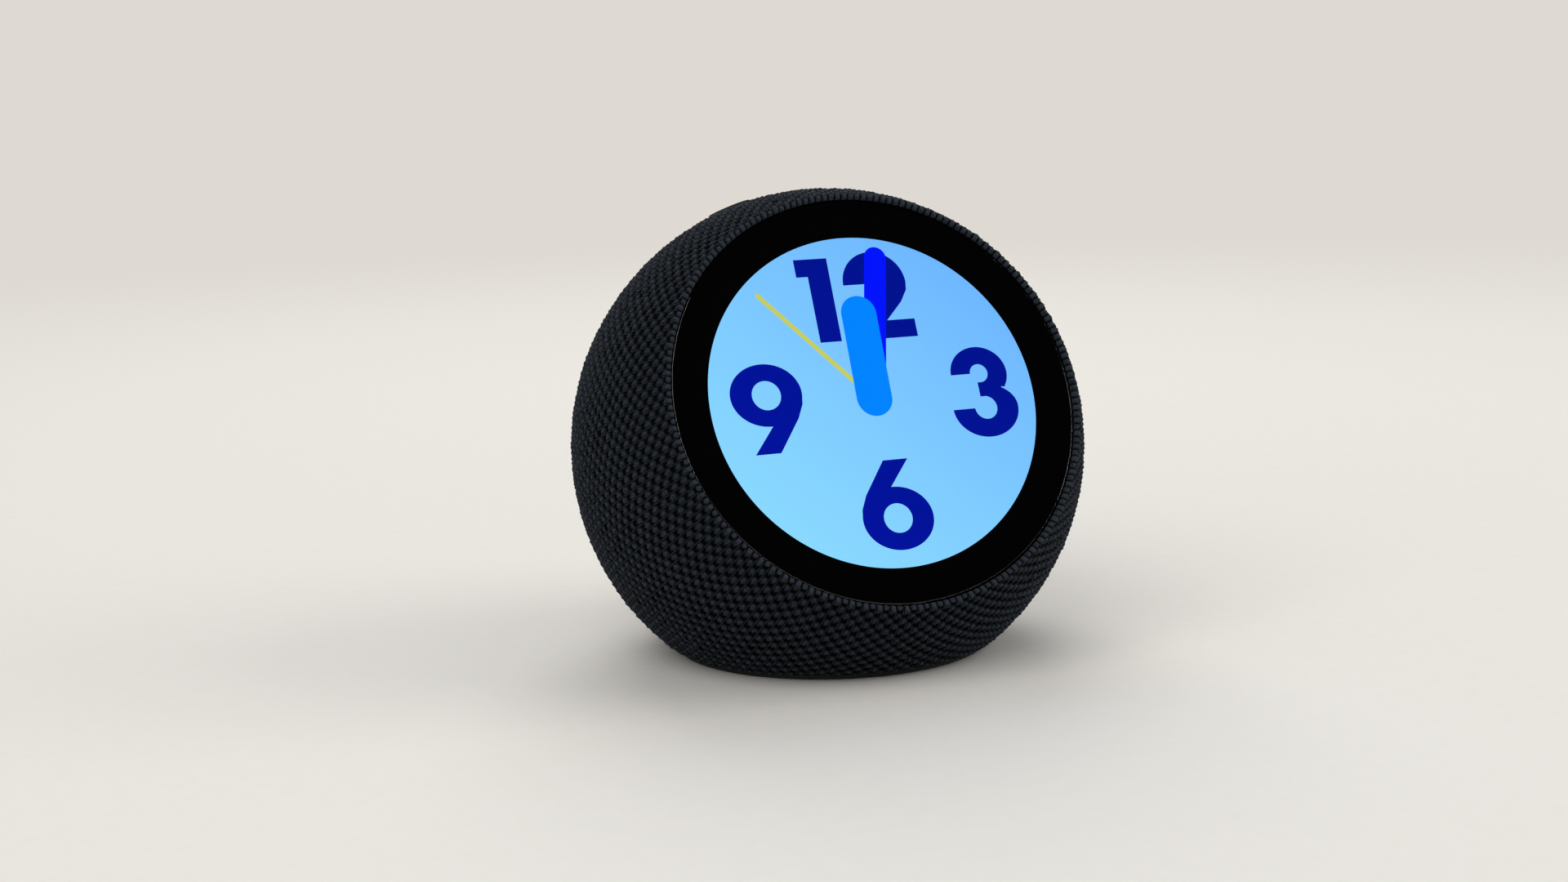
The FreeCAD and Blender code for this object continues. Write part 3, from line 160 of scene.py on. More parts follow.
# %% [markdown]
# ## The yarn
# The sleeve is knitted from textured polyester yarn, dyed charcoal. It looks soft because its fibres catch
# light at grazing angles, which is what sheen does, and lively because each stitch shows a small loop of yarn
# with its plies twisted round each other. The big shapes, the bumps and the holes between them, are in the mesh;
# the loop, the plies and the fuzz are finer than its faces, so they are drawn as tone and bump from the sleeve's
# own UV map, where one unit across is one wale and one unit up is two courses. Light and shade are painted into
# that tone too: a painted highlight on each loop's ring, on the strands and on the cast-on edge, and painted shade
# in the loop's eye and in the holes between the stitches.

# %% What one lattice of stitches draws
# in units of the map: where a head lies in its cell and how far its blunt end reaches, the ring of yarn round the
# head, and the middle of the strand's length
HEAD_AT, HEAD_END = 0.22, 0.2
RING_WIDE, RING_LONG = 0.085, 0.13
STRAND_SHOWN = 0.18


def stitch_lines(tree, lattice, shift):
    """What the yarn does in one lattice of stitches, as values from 0 to 1: the egg-shaped outline of each stitch,
    blunt at its head and pointed at its tail, the ring of yarn round the head, where a highlight is painted, the eye
    inside the ring, where shade is painted, and the straight strand that passes on each side."""
    moved = add(tree, "VectorMath", {0: lattice, 1: shift}, operation="ADD").outputs[0]
    cell = add(tree, "VectorMath", {0: moved}, operation="FRACTION").outputs[0]
    placed = add(tree, "VectorMath", {0: cell, 1: (0.5, HEAD_AT, 0.0)}, operation="SUBTRACT").outputs[0]
    apart = add(tree, "SeparateXYZ", {0: placed})
    side, front = apart.outputs["X"], apart.outputs["Y"]
    tailward = add(tree, "Math", {0: front, 1: 0.0}, operation="MAXIMUM").outputs[0]
    pointed = add(tree, "CombineXYZ", {0: side, 1: tailward}).outputs[0]
    pointed = add(tree, "VectorMath", {0: pointed, 1: (1 / HEAD_WIDE, 2 / BODY_LONG, 0.0)},
                  operation="MULTIPLY").outputs[0]
    pointed = add(tree, "VectorMath", {0: pointed}, operation="LENGTH").outputs["Value"]
    blunt = add(tree, "Math", {0: front, 1: -1 / HEAD_END}, operation="MULTIPLY").outputs[0]
    egg = add(tree, "Math", {0: pointed, 1: blunt}, operation="MAXIMUM").outputs[0]
    oval = add(tree, "VectorMath", {0: placed, 1: (1 / RING_WIDE, 1 / RING_LONG, 0.0)},
               operation="MULTIPLY").outputs[0]
    away = add(tree, "VectorMath", {0: oval}, operation="LENGTH").outputs["Value"]
    off_ring = add(tree, "Math", {0: away, 1: 1.0}, operation="SUBTRACT").outputs[0]
    off_ring = add(tree, "Math", {0: off_ring}, operation="ABSOLUTE").outputs[0]
    beside = add(tree, "Math", {0: side}, operation="ABSOLUTE").outputs[0]
    off_strand = add(tree, "Math", {0: beside, 1: STRAND_AT}, operation="SUBTRACT").outputs[0]
    off_strand = add(tree, "Math", {0: off_strand}, operation="ABSOLUTE").outputs[0]
    along = add(tree, "Math", {0: front, 1: STRAND_SHOWN}, operation="SUBTRACT").outputs[0]
    along = add(tree, "Math", {0: along}, operation="ABSOLUTE").outputs[0]
    drawn = []
    for distance, full, none in (
            # what is measured, up to where a line is full, and from where it is gone
            (egg, 0.82, 1.12), (off_ring, 0.0, 0.6), (away, 0.0, 0.5), (off_strand, 0.0, 0.07), (along, 0.1, 0.4)):
        line = add(tree, "MapRange", {"Value": distance, "From Min": full, "From Max": none, "To Min": 1.0,
                                      "To Max": 0.0}, interpolation_type="SMOOTHSTEP")
        drawn.append(line.outputs[0])
    outline, ring, eye, beside_strand, along_strand = drawn
    strand = add(tree, "Math", {0: beside_strand, 1: along_strand}, operation="MULTIPLY").outputs[0]
    return outline, ring, eye, strand


print("the ring round a head is", round(float(2 * RING_WIDE * 2 * np.pi * BALL / WALES / MM), 2), "mm across")

# %% Both lattices of stitches
yarn = bpy.data.materials.new("polyester_knit_charcoal")
yarn.use_nodes = True
tree = yarn.node_tree
cloth = tree.nodes["Principled BSDF"]
stitch = add(tree, "UVMap", uv_map="UVMap").outputs[0]
object_space = add(tree, "TexCoord").outputs["Object"]
loft = add(tree, "Attribute", attribute_name="loft").outputs["Fac"]
# one lattice of stitches for the even courses and one, half a wale aside, for the odd
even_lines = stitch_lines(tree, stitch, (0.5, HEAD_AT, 0.0))
odd_lines = stitch_lines(tree, stitch, (0.0, HEAD_AT + 0.5, 0.0))
outlines, rings, eyes, strands = (add(tree, "Math", {0: one, 1: other}, operation="MAXIMUM").outputs[0]
                                  for one, other in zip(even_lines, odd_lines))
print("both lattices take", len(tree.nodes), "nodes")

# %% Plies, fuzz and dye
FIBRES, CLOUDS = 8000.0, 420.0  # how many fibres, and how many clouds of dye, lie side by side in a metre
# plies: fine lines along the yarn, about 0.35 mm apart, leaning with the stitch's legs
legs = add(tree, "Mapping", {"Vector": stitch, "Rotation": (0.0, 0.0, radians(24)), "Scale": (3.5, 2.9, 1.0)})
plies = add(tree, "TexWave", {"Vector": legs.outputs[0], "Scale": 0.9, "Distortion": 5.0, "Detail": 2.0,
                              "Detail Scale": 1.6}, wave_type="BANDS", bands_direction="X").outputs["Fac"]
# fuzz: single fibres, drawn 0.12 mm across, several times a real one, so that they still show
fuzz = add(tree, "TexNoise", {"Vector": object_space, "Scale": FIBRES, "Detail": 3.0,
                              "Roughness": 0.7}).outputs["Fac"]
# dye: yarn takes dye a little unevenly from one stitch to the next
dye = add(tree, "TexNoise", {"Vector": object_space, "Scale": CLOUDS, "Detail": 2.0}).outputs["Fac"]
print("a fibre is drawn", 1000 / FIBRES, "mm across and a cloud of dye", round(1000 / CLOUDS, 1), "mm")

# %% What the yarn covers
# painted shade: in the holes between the stitches, where fibres shade each other, the tone is painted near black;
# partly it is the black shell seen through
raised = add(tree, "MapRange", {"Value": loft, "From Min": 0.05, "From Max": 0.5},
             interpolation_type="SMOOTHSTEP").outputs[0]
along_rows = add(tree, "SeparateXYZ", {0: stitch}).outputs["Y"]
cast_on = add(tree, "MapRange", {"Value": along_rows, "From Min": -0.05, "From Max": -0.2}).outputs[0]
covered = add(tree, "Math", {0: outlines, 1: strands}, operation="MAXIMUM").outputs[0]
# beads: the cast-on edge has two small stitches to a wale, one every 1.4 mm round the glass
halves = add(tree, "VectorMath", {0: stitch, 1: (2.0, 0.0, 0.0)}, operation="MULTIPLY").outputs[0]
halves = add(tree, "VectorMath", {0: halves, 1: (0.5, 0.0, 0.0)}, operation="ADD").outputs[0]
halves = add(tree, "VectorMath", {0: halves}, operation="FRACTION").outputs[0]
halves = add(tree, "VectorMath", {0: halves, 1: (0.5, 0.0, 0.0)}, operation="SUBTRACT").outputs[0]
halves = add(tree, "VectorMath", {0: halves}, operation="LENGTH").outputs["Value"]
beads = add(tree, "MapRange", {"Value": halves, "From Min": 0.2, "From Max": 0.48, "To Min": 1.0, "To Max": 0.0},
            interpolation_type="SMOOTHSTEP").outputs[0]
covered = add(tree, "Mix", {0: cast_on, 2: covered, 3: beads}).outputs[0]
outer = add(tree, "Math", {0: raised, 1: covered}, operation="MULTIPLY").outputs[0]
print("all patterns take", len(tree.nodes), "nodes")

# %% The yarn's colours
patchy = add(tree, "MapRange", {"Value": dye, "From Min": 0.3, "From Max": 0.7})
dyed = add(tree, "Mix", {0: patchy.outputs[0], 6: linear("#12171c"), 7: linear("#191f26")}, data_type="RGBA")
twisted = add(tree, "Mix", {0: plies, 6: dyed.outputs[2], 7: linear("#20262d")}, data_type="RGBA")
# painted highlight: the cast-on edge is knitted tighter, and its yarn is painted lighter for the light it catches
# facing the lamps and the lit display
edge_highlighted = add(tree, "Mix", {0: cast_on, 6: twisted.outputs[2], 7: linear("#2b323b")}, data_type="RGBA")
# painted highlight: the strands are painted lighter than the rest of the yarn, for the light their raised tops catch
strand_highlighted = add(tree, "Mix", {0: strands, 6: edge_highlighted.outputs[2], 7: linear("#272e37")}, data_type="RGBA")
# painted highlight: the ring of yarn round each head is painted lighter, for the glint on the loop's curve
ring_highlighted = add(tree, "Mix", {0: rings, 6: strand_highlighted.outputs[2], 7: linear("#333b45")}, data_type="RGBA")
# painted shade: the eye inside the ring is painted near black, for the shade inside the loop
eye_shaded = add(tree, "Mix", {0: eyes, 6: ring_highlighted.outputs[2], 7: linear("#08090b")}, data_type="RGBA")
# painted shade: near black wherever no yarn lies on top, for the shade down in the holes
hole_shade_painted = add(tree, "Mix", {0: outer, 6: linear("#090a0d"), 7: eye_shaded.outputs[2]}, data_type="RGBA")
gloss = add(tree, "MapRange", {"Value": outer, "To Max": 0.12}).outputs[0]
tree.links.new(hole_shade_painted.outputs[2], cloth.inputs["Base Color"])
tree.links.new(gloss, cloth.inputs["Specular IOR Level"])
# 333b45 is the painted highlight on the rings, not a tone of the dye
print("the yarn runs from", [round(x, 4) for x in linear("#12171c")[:3]], "to",
      [round(x, 4) for x in linear("#333b45")[:3]], "in linear light")

# %% The yarn's relief and sheen
twist = add(tree, "Bump", {"Height": plies, "Distance": 0.14 * MM, "Strength": 0.8})
hair = add(tree, "Bump", {"Height": fuzz, "Distance": 0.05 * MM, "Strength": 0.7, "Normal": twist.outputs[0]})
drawn = add(tree, "Math", {0: rings, 1: strands}, operation="MAXIMUM").outputs[0]
head = add(tree, "Bump", {"Height": drawn, "Distance": 0.2 * MM, "Strength": 1.0, "Normal": hair.outputs[0]})
tree.links.new(head.outputs[0], cloth.inputs["Normal"])
cloth.inputs["Roughness"].default_value = 0.7
cloth.inputs["IOR"].default_value = 1.54
cloth.inputs["Sheen Weight"].default_value = 0.06
cloth.inputs["Sheen Roughness"].default_value = 0.4
cloth.inputs["Sheen Tint"].default_value = linear("#8d94a0")
print(yarn.name, "has", len(tree.nodes), "nodes")

# %% [markdown]
# ## The sleeve
# On the real clock a stretchy tube is knitted in rows that run round the display, pulled over the ball and glued
# down, and its edge is rolled into the gap round the glass. So the surface is worked out in the display's own
# polar coordinates: one parameter is the angle away from the display's middle, the other the angle round it. A
# profile gives the plain cloth, which is the wall beside the glass, a small roll, and the ball. The stitches are
# then raised from it. Stitches of neighbouring rows sit half a step apart, like a chequerboard, with a dark hole
# in front of every head. A displacement modifier could do that with a texture, but a formula on the grid puts
# each bump exactly on a knitted row and gives it only a few dozen faces.

# %% The profile of the plain cloth
LIP = GLASS_RADIUS - 0.05 * MM
ROLL, WELT = 0.7 * MM, 0.3 * MM  # radius of the roll, and how proud its outside stands
ROLL_AXIS = np.sqrt((BALL + WELT - ROLL) ** 2 - (LIP + ROLL) ** 2)
LIP_ANGLE = np.arctan2(LIP + ROLL, ROLL_AXIS)
ROLL_ROWS, TUCK = 1.5, 0.5  # rows over the roll, and the share of them that tucks in under it
WALL_STEP = 1.3 * MM  # from row to row on the wall beside the glass


def profile(rows):
    """The plain cloth's profile about the display's axis, as distances from the axis and along it, and the cloth's
    direction. Before 0 the rows run up beside the glass and round the roll, a welt that stands a little proud and
    just overhangs the glass; from 0 they are courses on the ball, one course apart in angle."""
    rows = np.asarray(rows, float)
    roll_angle = np.pi - np.clip(1 + rows / ROLL_ROWS, -TUCK, 1) * (np.pi / 2 + LIP_ANGLE)
    down = np.clip(-ROLL_ROWS * (1 + TUCK) - rows, 0, None) * WALL_STEP
    angle = LIP_ANGLE + np.clip(rows, 0, None) * COURSE
    on_ball = rows >= 0
    radius = BALL + WELT * np.exp(-rows ** 2)
    out = np.where(on_ball, radius * np.sin(angle), LIP + ROLL + ROLL * np.cos(roll_angle))
    along = np.where(on_ball, radius * np.cos(angle), ROLL_AXIS + ROLL * np.sin(roll_angle) - down)
    normal = np.where(on_ball, angle, np.pi / 2 - roll_angle)
    return out, along, normal


print("the first course lies", round(float(np.degrees(LIP_ANGLE)), 1), "degrees from the display's middle")

# %% The height of the stitches
UNEVEN_COURSES = 90
rng = np.random.default_rng(11)
UNEVEN = rng.normal(0.0, 1.0, (4, UNEVEN_COURSES, WALES))


def bump(side, front, lift):
    """Height of one rounded stitch, nothing outside its ellipse: (1 - side squared - front squared) to the 0.62."""
    return np.clip(1 - side ** 2 - front ** 2, 0, None) ** 0.62 * (1 + 0.05 * lift)


def stitches(rows, across, wales):
    """Height of the cloth from 0 in a hole to about 1 on a stitch, across counting wales. Each stitch is the highest
    of three bumps: its head towards the display, a body that tapers away from it, and a thin strand on each side.
    Before the first course lies the cast-on edge, with two small stitches to a wale."""
    edge = np.round(across * 2) / 2
    # small factors make the stitches as uneven as a machine's: aside, in width, in height and along the wale
    wander, size, lift, slip = (UNEVEN[i][0][np.mod(edge * 2, WALES).astype(int)] for i in range(4))
    tall = bump((across - edge - 0.03 * wander) / (BEAD_WIDE + 0.01 * size),
                (rows - BEAD_MIDDLE - 0.08 * slip) / BEAD_LONG, 2 * lift)
    for further in (-1, 0, 1):
        course = np.floor(rows) + further
        half = 0.5 * np.mod(course, 2)
        column = np.round(across - half) + half
        pick = (np.mod(course, UNEVEN_COURSES).astype(int), np.mod(np.floor(column), wales).astype(int))
        wander, size, lift, slip = (UNEVEN[i][pick] for i in range(4))
        front, side = rows - course - 0.04 * slip, (across - column - 0.012 * wander) / (1 + 0.04 * size)
        head = bump((side / HEAD_WIDE) ** 2, (front / HEAD_LONG) ** 2, lift)
        body = BODY_TALL * bump(side / BODY_WIDE, front / np.where(front > 0, BODY_LONG, BODY_BACK), lift)
        strand = STRAND_TALL * bump((np.abs(side) - STRAND_AT) / STRAND_WIDE,
                                    (front - STRAND_MIDDLE) / STRAND_LONG, lift)
        tall = np.maximum(tall, np.maximum(np.maximum(head, body), strand) * (course >= 0))
    return tall


tried = stitches(np.arange(0, 4, 0.25)[:, None], np.arange(0, WALES, 0.125)[None, :], WALES)
print("on the first four courses the cloth's height runs from", round(float(tried.min()), 2), "to",
      round(float(tried.max()), 2))

# %% The points of a band
STITCH_HEIGHT, SINK = 1.05, 0.85  # in mm: a head over a hole, and a hole below the plain cloth
EDGE_SHARE = 0.4  # how much of that height is left at the cast-on edge
HIDDEN_ROW, HIDDEN_FADE, HIDDEN_TALL = -1.6, 0.6, 0.8  # no stitches before this row, which nobody sees
CALM_ROWS, CALM_TALL = 0.5, 0.5  # near a row where wales end the cloth is smooth
ACROSS, ALONG = 8, 4  # faces to a wale and to a course


def cloth_grid(first, last, wales, calm=()):
    """Points of one band of the sleeve, with their UV and loft. Each point is the plain cloth moved along its
    normal by the stitch height, which settles to an even height at the rows named in calm."""
    rows = np.arange(round(first * ALONG), round(last * ALONG) + 1)[:, None] / ALONG
    across = np.arange(wales * ACROSS)[None, :] / ACROSS
    round_angle = 2 * np.pi * across / wales
    out, along, normal = profile(rows)
    tall = stitches(rows, across, wales)
    settle = np.clip((rows - HIDDEN_ROW) / HIDDEN_FADE, 0.0, 1.0)
    tall = HIDDEN_TALL * (1 - settle) + tall * settle
    for row in calm:
        near = np.clip(1 - np.abs(rows - row) / CALM_ROWS, 0, 1)
        tall = tall * (1 - near) + CALM_TALL * near
    rise = (tall * STITCH_HEIGHT - SINK) * MM * np.clip(1 + EDGE_SHARE * rows, EDGE_SHARE, 1.0)
    radial = SIDE * np.cos(round_angle)[..., None] + RISE * np.sin(round_angle)[..., None]
    plain = out[..., None] * radial + along[..., None] * FACING
    outward = np.sin(normal)[..., None] * radial + np.cos(normal)[..., None] * FACING
    points = plain + rise[..., None] * outward
    spread = np.broadcast_to(across, tall.shape)
    flat = np.stack((spread * WALES / wales, np.broadcast_to(rows / 2, tall.shape)), -1)
    return points, flat, tall


print("one course has", ACROSS * WALES, "by", ALONG, "points")

# %% [markdown]
# ## Holes and the flat underneath
# The sleeve has three round holes for the buttons, one for the power inlet, and it is turned under at the foot.
# Cutting holes with a boolean would leave a raw edge as thin as paper. Instead the cloth is led down into each
# hole: a point that would lie over the hole moves out to its wall, and as far down as it was inside. A softened
# ramp makes the corner round, as real cloth bends. Faces deeper than that are left out, hidden by the button.

# %% Where the holes are
BUTTON_LEAN = radians(15.0)
PRESS = np.array((0.0, sin(BUTTON_LEAN), cos(BUTTON_LEAN)))
BACK = np.array((0.0, 1.0, 0.0))
button_middles = [np.mean(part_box(name), axis=0) for name in ("button_left", "button_middle", "button_right")]
inlet_middle = np.mean(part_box("inlet_ring"), axis=0)
BUTTON_HOLE, BUTTON_DEPTH = 4.7 * MM, 1.5 * MM
INLET_HOLE, INLET_DEPTH = 5.9 * MM, 2.6 * MM
HOLES = [(np.array((middle[0], 0.0, 0.0)), PRESS, BUTTON_HOLE, BUTTON_DEPTH) for middle in button_middles]
HOLES.append((np.array((0.0, 0.0, inlet_middle[2])) - MIDDLE, BACK, INLET_HOLE, INLET_DEPTH))
print(len(HOLES), "holes, the first", round(HOLES[0][2] / MM, 2), "mm in radius")

# %% Leading the cloth into them
CORNER, REACH = 0.22 * MM, 2.0 * MM  # softness of a hole's corner, and how far from its wall it is felt
HEM_CORNER, HEM_HEIGHT = 0.25 * MM, 1.0 * MM
FOOT_EDGE = 32.4 * MM


def soft_ramp(x, softness):
    """0 far below 0 and x far above it, with a rounded corner between: softness times log(1 + exp(x/softness))."""
    return softness * np.logaddexp(0.0, x / softness)


def lead_in(points):
    """Moves points, measured from the ball's middle, into the holes and onto the flat, and tells which to keep."""
    keep = np.ones(points.shape[:-1], bool)
    for at, axis, radius, depth in HOLES:
        seen = points - at
        high = seen @ axis
        flat = seen - high[..., None] * axis
        away = np.linalg.norm(flat, axis=-1)
        ahead = high > 0
        inside = radius - away
        wall = radius + soft_ramp(-inside, CORNER)
        drop = soft_ramp(inside, CORNER)
        near = ahead & (inside > -REACH)
        moved = at + flat / np.maximum(away, 1e-9)[..., None] * wall[..., None] + (high - drop)[..., None] * axis
        points = np.where(near[..., None], moved, points)
        keep &= ~(ahead & (inside > depth))
    floor = FLAT - MIDDLE[2]
    points = points.copy()
    points[..., 2] = floor + soft_ramp(points[..., 2] - floor, HEM_CORNER)
    under = np.hypot(points[..., 0], points[..., 1]) < FOOT_EDGE
    keep &= ~(under & (points[..., 2] < floor + HEM_HEIGHT))
    return points, keep


print("right over a hole's wall the cloth goes", round(float(soft_ramp(0.0, CORNER) / MM), 2), "mm down")

# %% [markdown]
# ## From points to a piece
# Blender can build a grid for us, but only a flat one. Here the points come from formulas, row by row, so what is
# left to make is the faces between them, the mesh with its finish, and the map that a pattern follows.

# %% Faces, a mesh and its map
def quads(rows, columns, closed=True):
    """The four-sided faces between neighbours of a grid of points; closed joins the last column to the first."""
    row = np.arange(rows - 1)[:, None] * columns
    here = np.arange(columns if closed else columns - 1)[None, :]
    after = (here + 1) % columns
    return np.stack((row + here, row + columns + here, row + columns + after, row + after), -1).reshape(-1, 4)


def piece(name, points, faces, material, body="housing"):
    """A mesh object at the origin, made of points and faces, with a finish, that rides on a body of the frame."""
    mesh = bpy.data.meshes.new(name)
    mesh.from_pydata(np.asarray(points).reshape(-1, 3).tolist(), [], faces)
    mesh.polygons.foreach_set("use_smooth", np.ones(len(mesh.polygons), bool))
    mesh.materials.append(material)
    made = bpy.data.objects.new(name, mesh)
    scene.collection.objects.link(made)
    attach(made, body)
    return made


def give_uv(made, flat):
    """Writes one UV pair per point into the mesh's own map."""
    mesh = made.data
    corner = np.empty(len(mesh.loops), np.int32)
    mesh.loops.foreach_get("vertex_index", corner)
    mesh.uv_layers.new(name="UVMap").data.foreach_set("uv", np.asarray(flat, np.float32)[corner].ravel())


print("a closed band of 2 rows and", WALES * ACROSS, "points has", len(quads(2, WALES * ACROSS)), "faces")

# %% [markdown]
# ## The rings
# The sleeve is one piece of cloth, but more faces than one mesh should hold, so it is drawn in three rings that
# meet exactly along a course. Round the back, where the rings get small, half of the wales end at a time, as a
# knitter narrows a tube. At such a place each wide face of the next band takes in the extra point between its
# two corners, so no gap opens.

# %% Bands joined into a ring
def sleeve_ring(name, bands):
    """Joins bands of the sleeve, each given as first course, last course and wales, into one closed mesh."""
    points, flats, lofts, four, five, kept, start = [], [], [], [], [], [], 0
    narrowing = [band[0] for band in bands[1:]]
    for number, (first, last, wales) in enumerate(bands):
        grid, flat, loft = cloth_grid(first, last, wales, calm=narrowing)
        rows, columns = loft.shape
        if number:
            wide = columns * 2
            grid, flat, loft, rows = grid[1:], flat[1:], loft[1:], rows - 1
            step = np.arange(columns)
            top = start - wide
            five.append(np.stack((top + 2 * step, start + step, start + (step + 1) % columns,
                                  top + (2 * step + 2) % wide, top + 2 * step + 1), -1))
        four.append(start + quads(rows, columns))
        grid, keep = lead_in(grid)
        points.append(grid.reshape(-1, 3))
        flats.append(flat.reshape(-1, 2))
        lofts.append(loft.ravel())
        kept.append(keep.ravel())
        start += rows * columns
    points, kept = np.concatenate(points) + MIDDLE, np.concatenate(kept)
    faces = [np.concatenate(group) for group in (four, five) if group]
    faces = [group[kept[group].all(axis=1)] for group in faces]
    used = np.unique(np.concatenate([group.ravel() for group in faces]))
    place = np.full(len(points), -1)
    place[used] = np.arange(len(used))
    made = piece(name, points[used], sum((place[group].tolist() for group in faces), []), yarn)
    give_uv(made, np.concatenate(flats)[used])
    made.data.attributes.new("loft", "FLOAT", "POINT").data.foreach_set(
        "value", np.concatenate(lofts)[used].astype(np.float32))
    return made


print("a ring 30 courses long has", (30 * ALONG + 1) * ACROSS * WALES, "points")

# %% The three rings of the sleeve
RINGS = {
    # name: bands of first course, last course and wales
    "knit_front": [(-3, 27, WALES)],
    "knit_middle": [(27, 54, WALES)],
    "knit_back": [(54, 60, WALES), (60, 71, WALES // 2), (71, 76, WALES // 4), (76, 80, WALES // 8)],
}
for name, bands in RINGS.items():
    ring = sleeve_ring(name, bands)
    triangles = sum(len(face.vertices) - 2 for face in ring.data.polygons)
    area = sum(face.area for face in ring.data.polygons)
    print(name, triangles, "triangles,", round(area * 1e4, 1), "square cm")

# %% The CAD sleeve hidden, and the rings' cut sizes printed
CUTS = {"knit_front": (0.33, 0.046), "knit_middle": (0.31, 0.042), "knit_back": (0.2, 0.036)}
for name, cut in CUTS.items():
    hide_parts("fabric_cover")
print("cut sizes in m:", CUTS)

# %% [markdown]
# ## The lit clock face
# Behind the glass a round liquid crystal panel shows a clock: four figures, an hour hand, a minute hand and a
# thin second hand. They are drawn by the panel, so they are flat, lie in one plane and give light. An image
# would be the quick way, but shapes stay sharp at any distance, so each is a band: two lines with the same
# number of points, filled between them. Points are in millimetres from the middle of the dial.

# %% Lit materials
PIXEL = 0.146
FADE_END = 36.0


def lit(name, low_code, high_code):
    """The panel's picture: light from low_code at the lower left to high_code at the upper right, cut into cells
    by the dark grid between the pixels, 0.146 mm apart as on a panel with 480 of them in 70 mm. That is too fine
    to show from where the camera stands, and isn't drawn coarser, because the real picture looks even."""
    material = bpy.data.materials.new(name)
    material.use_nodes = True
    tree = material.node_tree
    place = add(tree, "UVMap", uv_map="UVMap").outputs[0]
    climb = add(tree, "VectorMath", {0: place, 1: (0.68, 0.73, 0.0)}, operation="DOT_PRODUCT").outputs["Value"]
    share = add(tree, "MapRange", {"Value": climb, "From Min": -FADE_END, "From Max": FADE_END}).outputs[0]
    tone = add(tree, "Mix", {0: share, 6: linear(low_code), 7: linear(high_code)}, data_type="RGBA").outputs[2]
    cells = add(tree, "TexBrick", {"Vector": place, "Scale": 1 / PIXEL, "Mortar Size": 0.06, "Mortar Smooth": 0.6,
                                   "Brick Width": 1.0, "Row Height": 1.0}, offset=0.0).outputs["Fac"]
    dim = add(tree, "MapRange", {"Value": cells, "To Min": 1.0, "To Max": 0.82}).outputs[0]
    glow = add(tree, "Mix", {0: 1.0, 6: tone, 7: dim}, data_type="RGBA", blend_type="MULTIPLY").outputs[2]
    skin = tree.nodes["Principled BSDF"]
    skin.inputs["Base Color"].default_value = (0.0, 0.0, 0.0, 1.0)
    skin.inputs["Roughness"].default_value = 0.3
    skin.inputs["Specular IOR Level"].default_value = 0.0
    tree.links.new(glow, skin.inputs["Emission Color"])
    skin.inputs["Emission Strength"].default_value = 1.2
    return material


sky = lit("lcd_picture_sky_blue", "#8ad9ff", "#6eb6ff")
navy = lit("lcd_picture_navy", "#01129f", "#01128b")
azure = lit("lcd_picture_azure", "#0184fe", "#0184fe")
ultramarine = lit("lcd_picture_ultramarine", "#0213fb", "#0213fb")
lemon = lit("lcd_picture_lemon", "#c6cd76", "#c6cd44")
print("lit finishes:", [material.name for material in (sky, navy, azure, ultramarine, lemon)])

# %% Lines on the dial
def arc(middle, radii, start, end, count=33):
    """Points on an ellipse from one angle to another, in degrees; a third radius is for its lower half."""
    angle = np.radians(np.linspace(start, end, count))
    wide, tall, below = (*radii, radii[-1])[:3]
    return np.stack((middle[0] + wide * np.cos(angle),
                     middle[1] + np.where(np.sin(angle) > 0, tall, below) * np.sin(angle)), -1)


def even(*knots, count=33):
    """Points evenly along straight runs from knot to knot."""
    knots = np.array(knots, float)
    along = np.concatenate(([0], np.cumsum(np.linalg.norm(np.diff(knots, axis=0), axis=1))))
    at = np.linspace(0, along[-1], count)
    return np.stack((np.interp(at, along, knots[:, 0]), np.interp(at, along, knots[:, 1])), -1)


rim = arc((0.0, 0.0), (35.0, 35.0), 0, 90)
print("a quarter of the rim in", len(rim), "points goes from", rim[0].round(1).tolist(), "to",
      rim[-1].round(1).tolist())

# %% Filling between two lines
LAYER = 0.01 * MM


def on_dial(flat, layer):
    """Millimetres on the dial, turned into points of the panel's plane, a hundredth higher per layer."""
    flat = np.asarray(flat, float)
    return MIDDLE + flat[:, :1] * MM * SIDE + flat[:, 1:] * MM * RISE + (PANEL_FRONT + layer * LAYER) * FACING


def bands_on_dial(name, bands, material, layer):
    """One flat piece from pairs of lines, each pair filled with quads from line to line, facing the viewer."""
    flat, faces, start = [], [], 0
    for first, second in bands:
        closed = np.allclose(first[0], first[-1]) and np.allclose(second[0], second[-1])
        first, second = (line[:-1] if closed else line for line in (first, second))
        run, over = np.diff(first, axis=0), (second - first)[:-1]
        leftward = (run[:, 0] * over[:, 1] - run[:, 1] * over[:, 0]).sum() > 0
        face = quads(2, len(first), closed)[:, ::-1]
        faces.append(start + (face if leftward else face[:, ::-1]))
        flat += [first, second]
        start += 2 * len(first)
    flat = np.concatenate(flat)
    made = piece(name, on_dial(flat, layer), np.concatenate(faces).tolist(), material)
    give_uv(made, flat)
    return made


print("pieces of the picture lie", LAYER / MM, "mm over each other")

# %% The figures 1 and 2
one = [
    (even((-9.25, 12.9), (-9.25, 30.9)), even((-4.6, 12.9), (-4.5, 30.9))),
    (even((-11.75, 27.1), (-9.0, 27.1)), even((-11.75, 30.9), (-9.0, 30.9))),
]
two_outer = np.concatenate((arc((4.95, 24.75), (6.9, 6.9), 180, 0), even((11.6, 23.0), (10.0, 20.5), (6.1, 16.65))))
two_inner = np.concatenate((arc((4.95, 24.75), (2.2, 2.2), 180, -10), even((6.2, 22.9), (-2.7, 14.0))))
two = [(two_outer, two_inner), (even((-2.7, 12.8), (12.15, 12.8)), even((-2.7, 16.65), (12.15, 16.65)))]
bands_on_dial("figure_twelve", one + two, navy, 2)
print("the figure 2 is", round(float(two_outer[:, 0].max() - two_outer[:, 0].min()), 1), "mm wide")

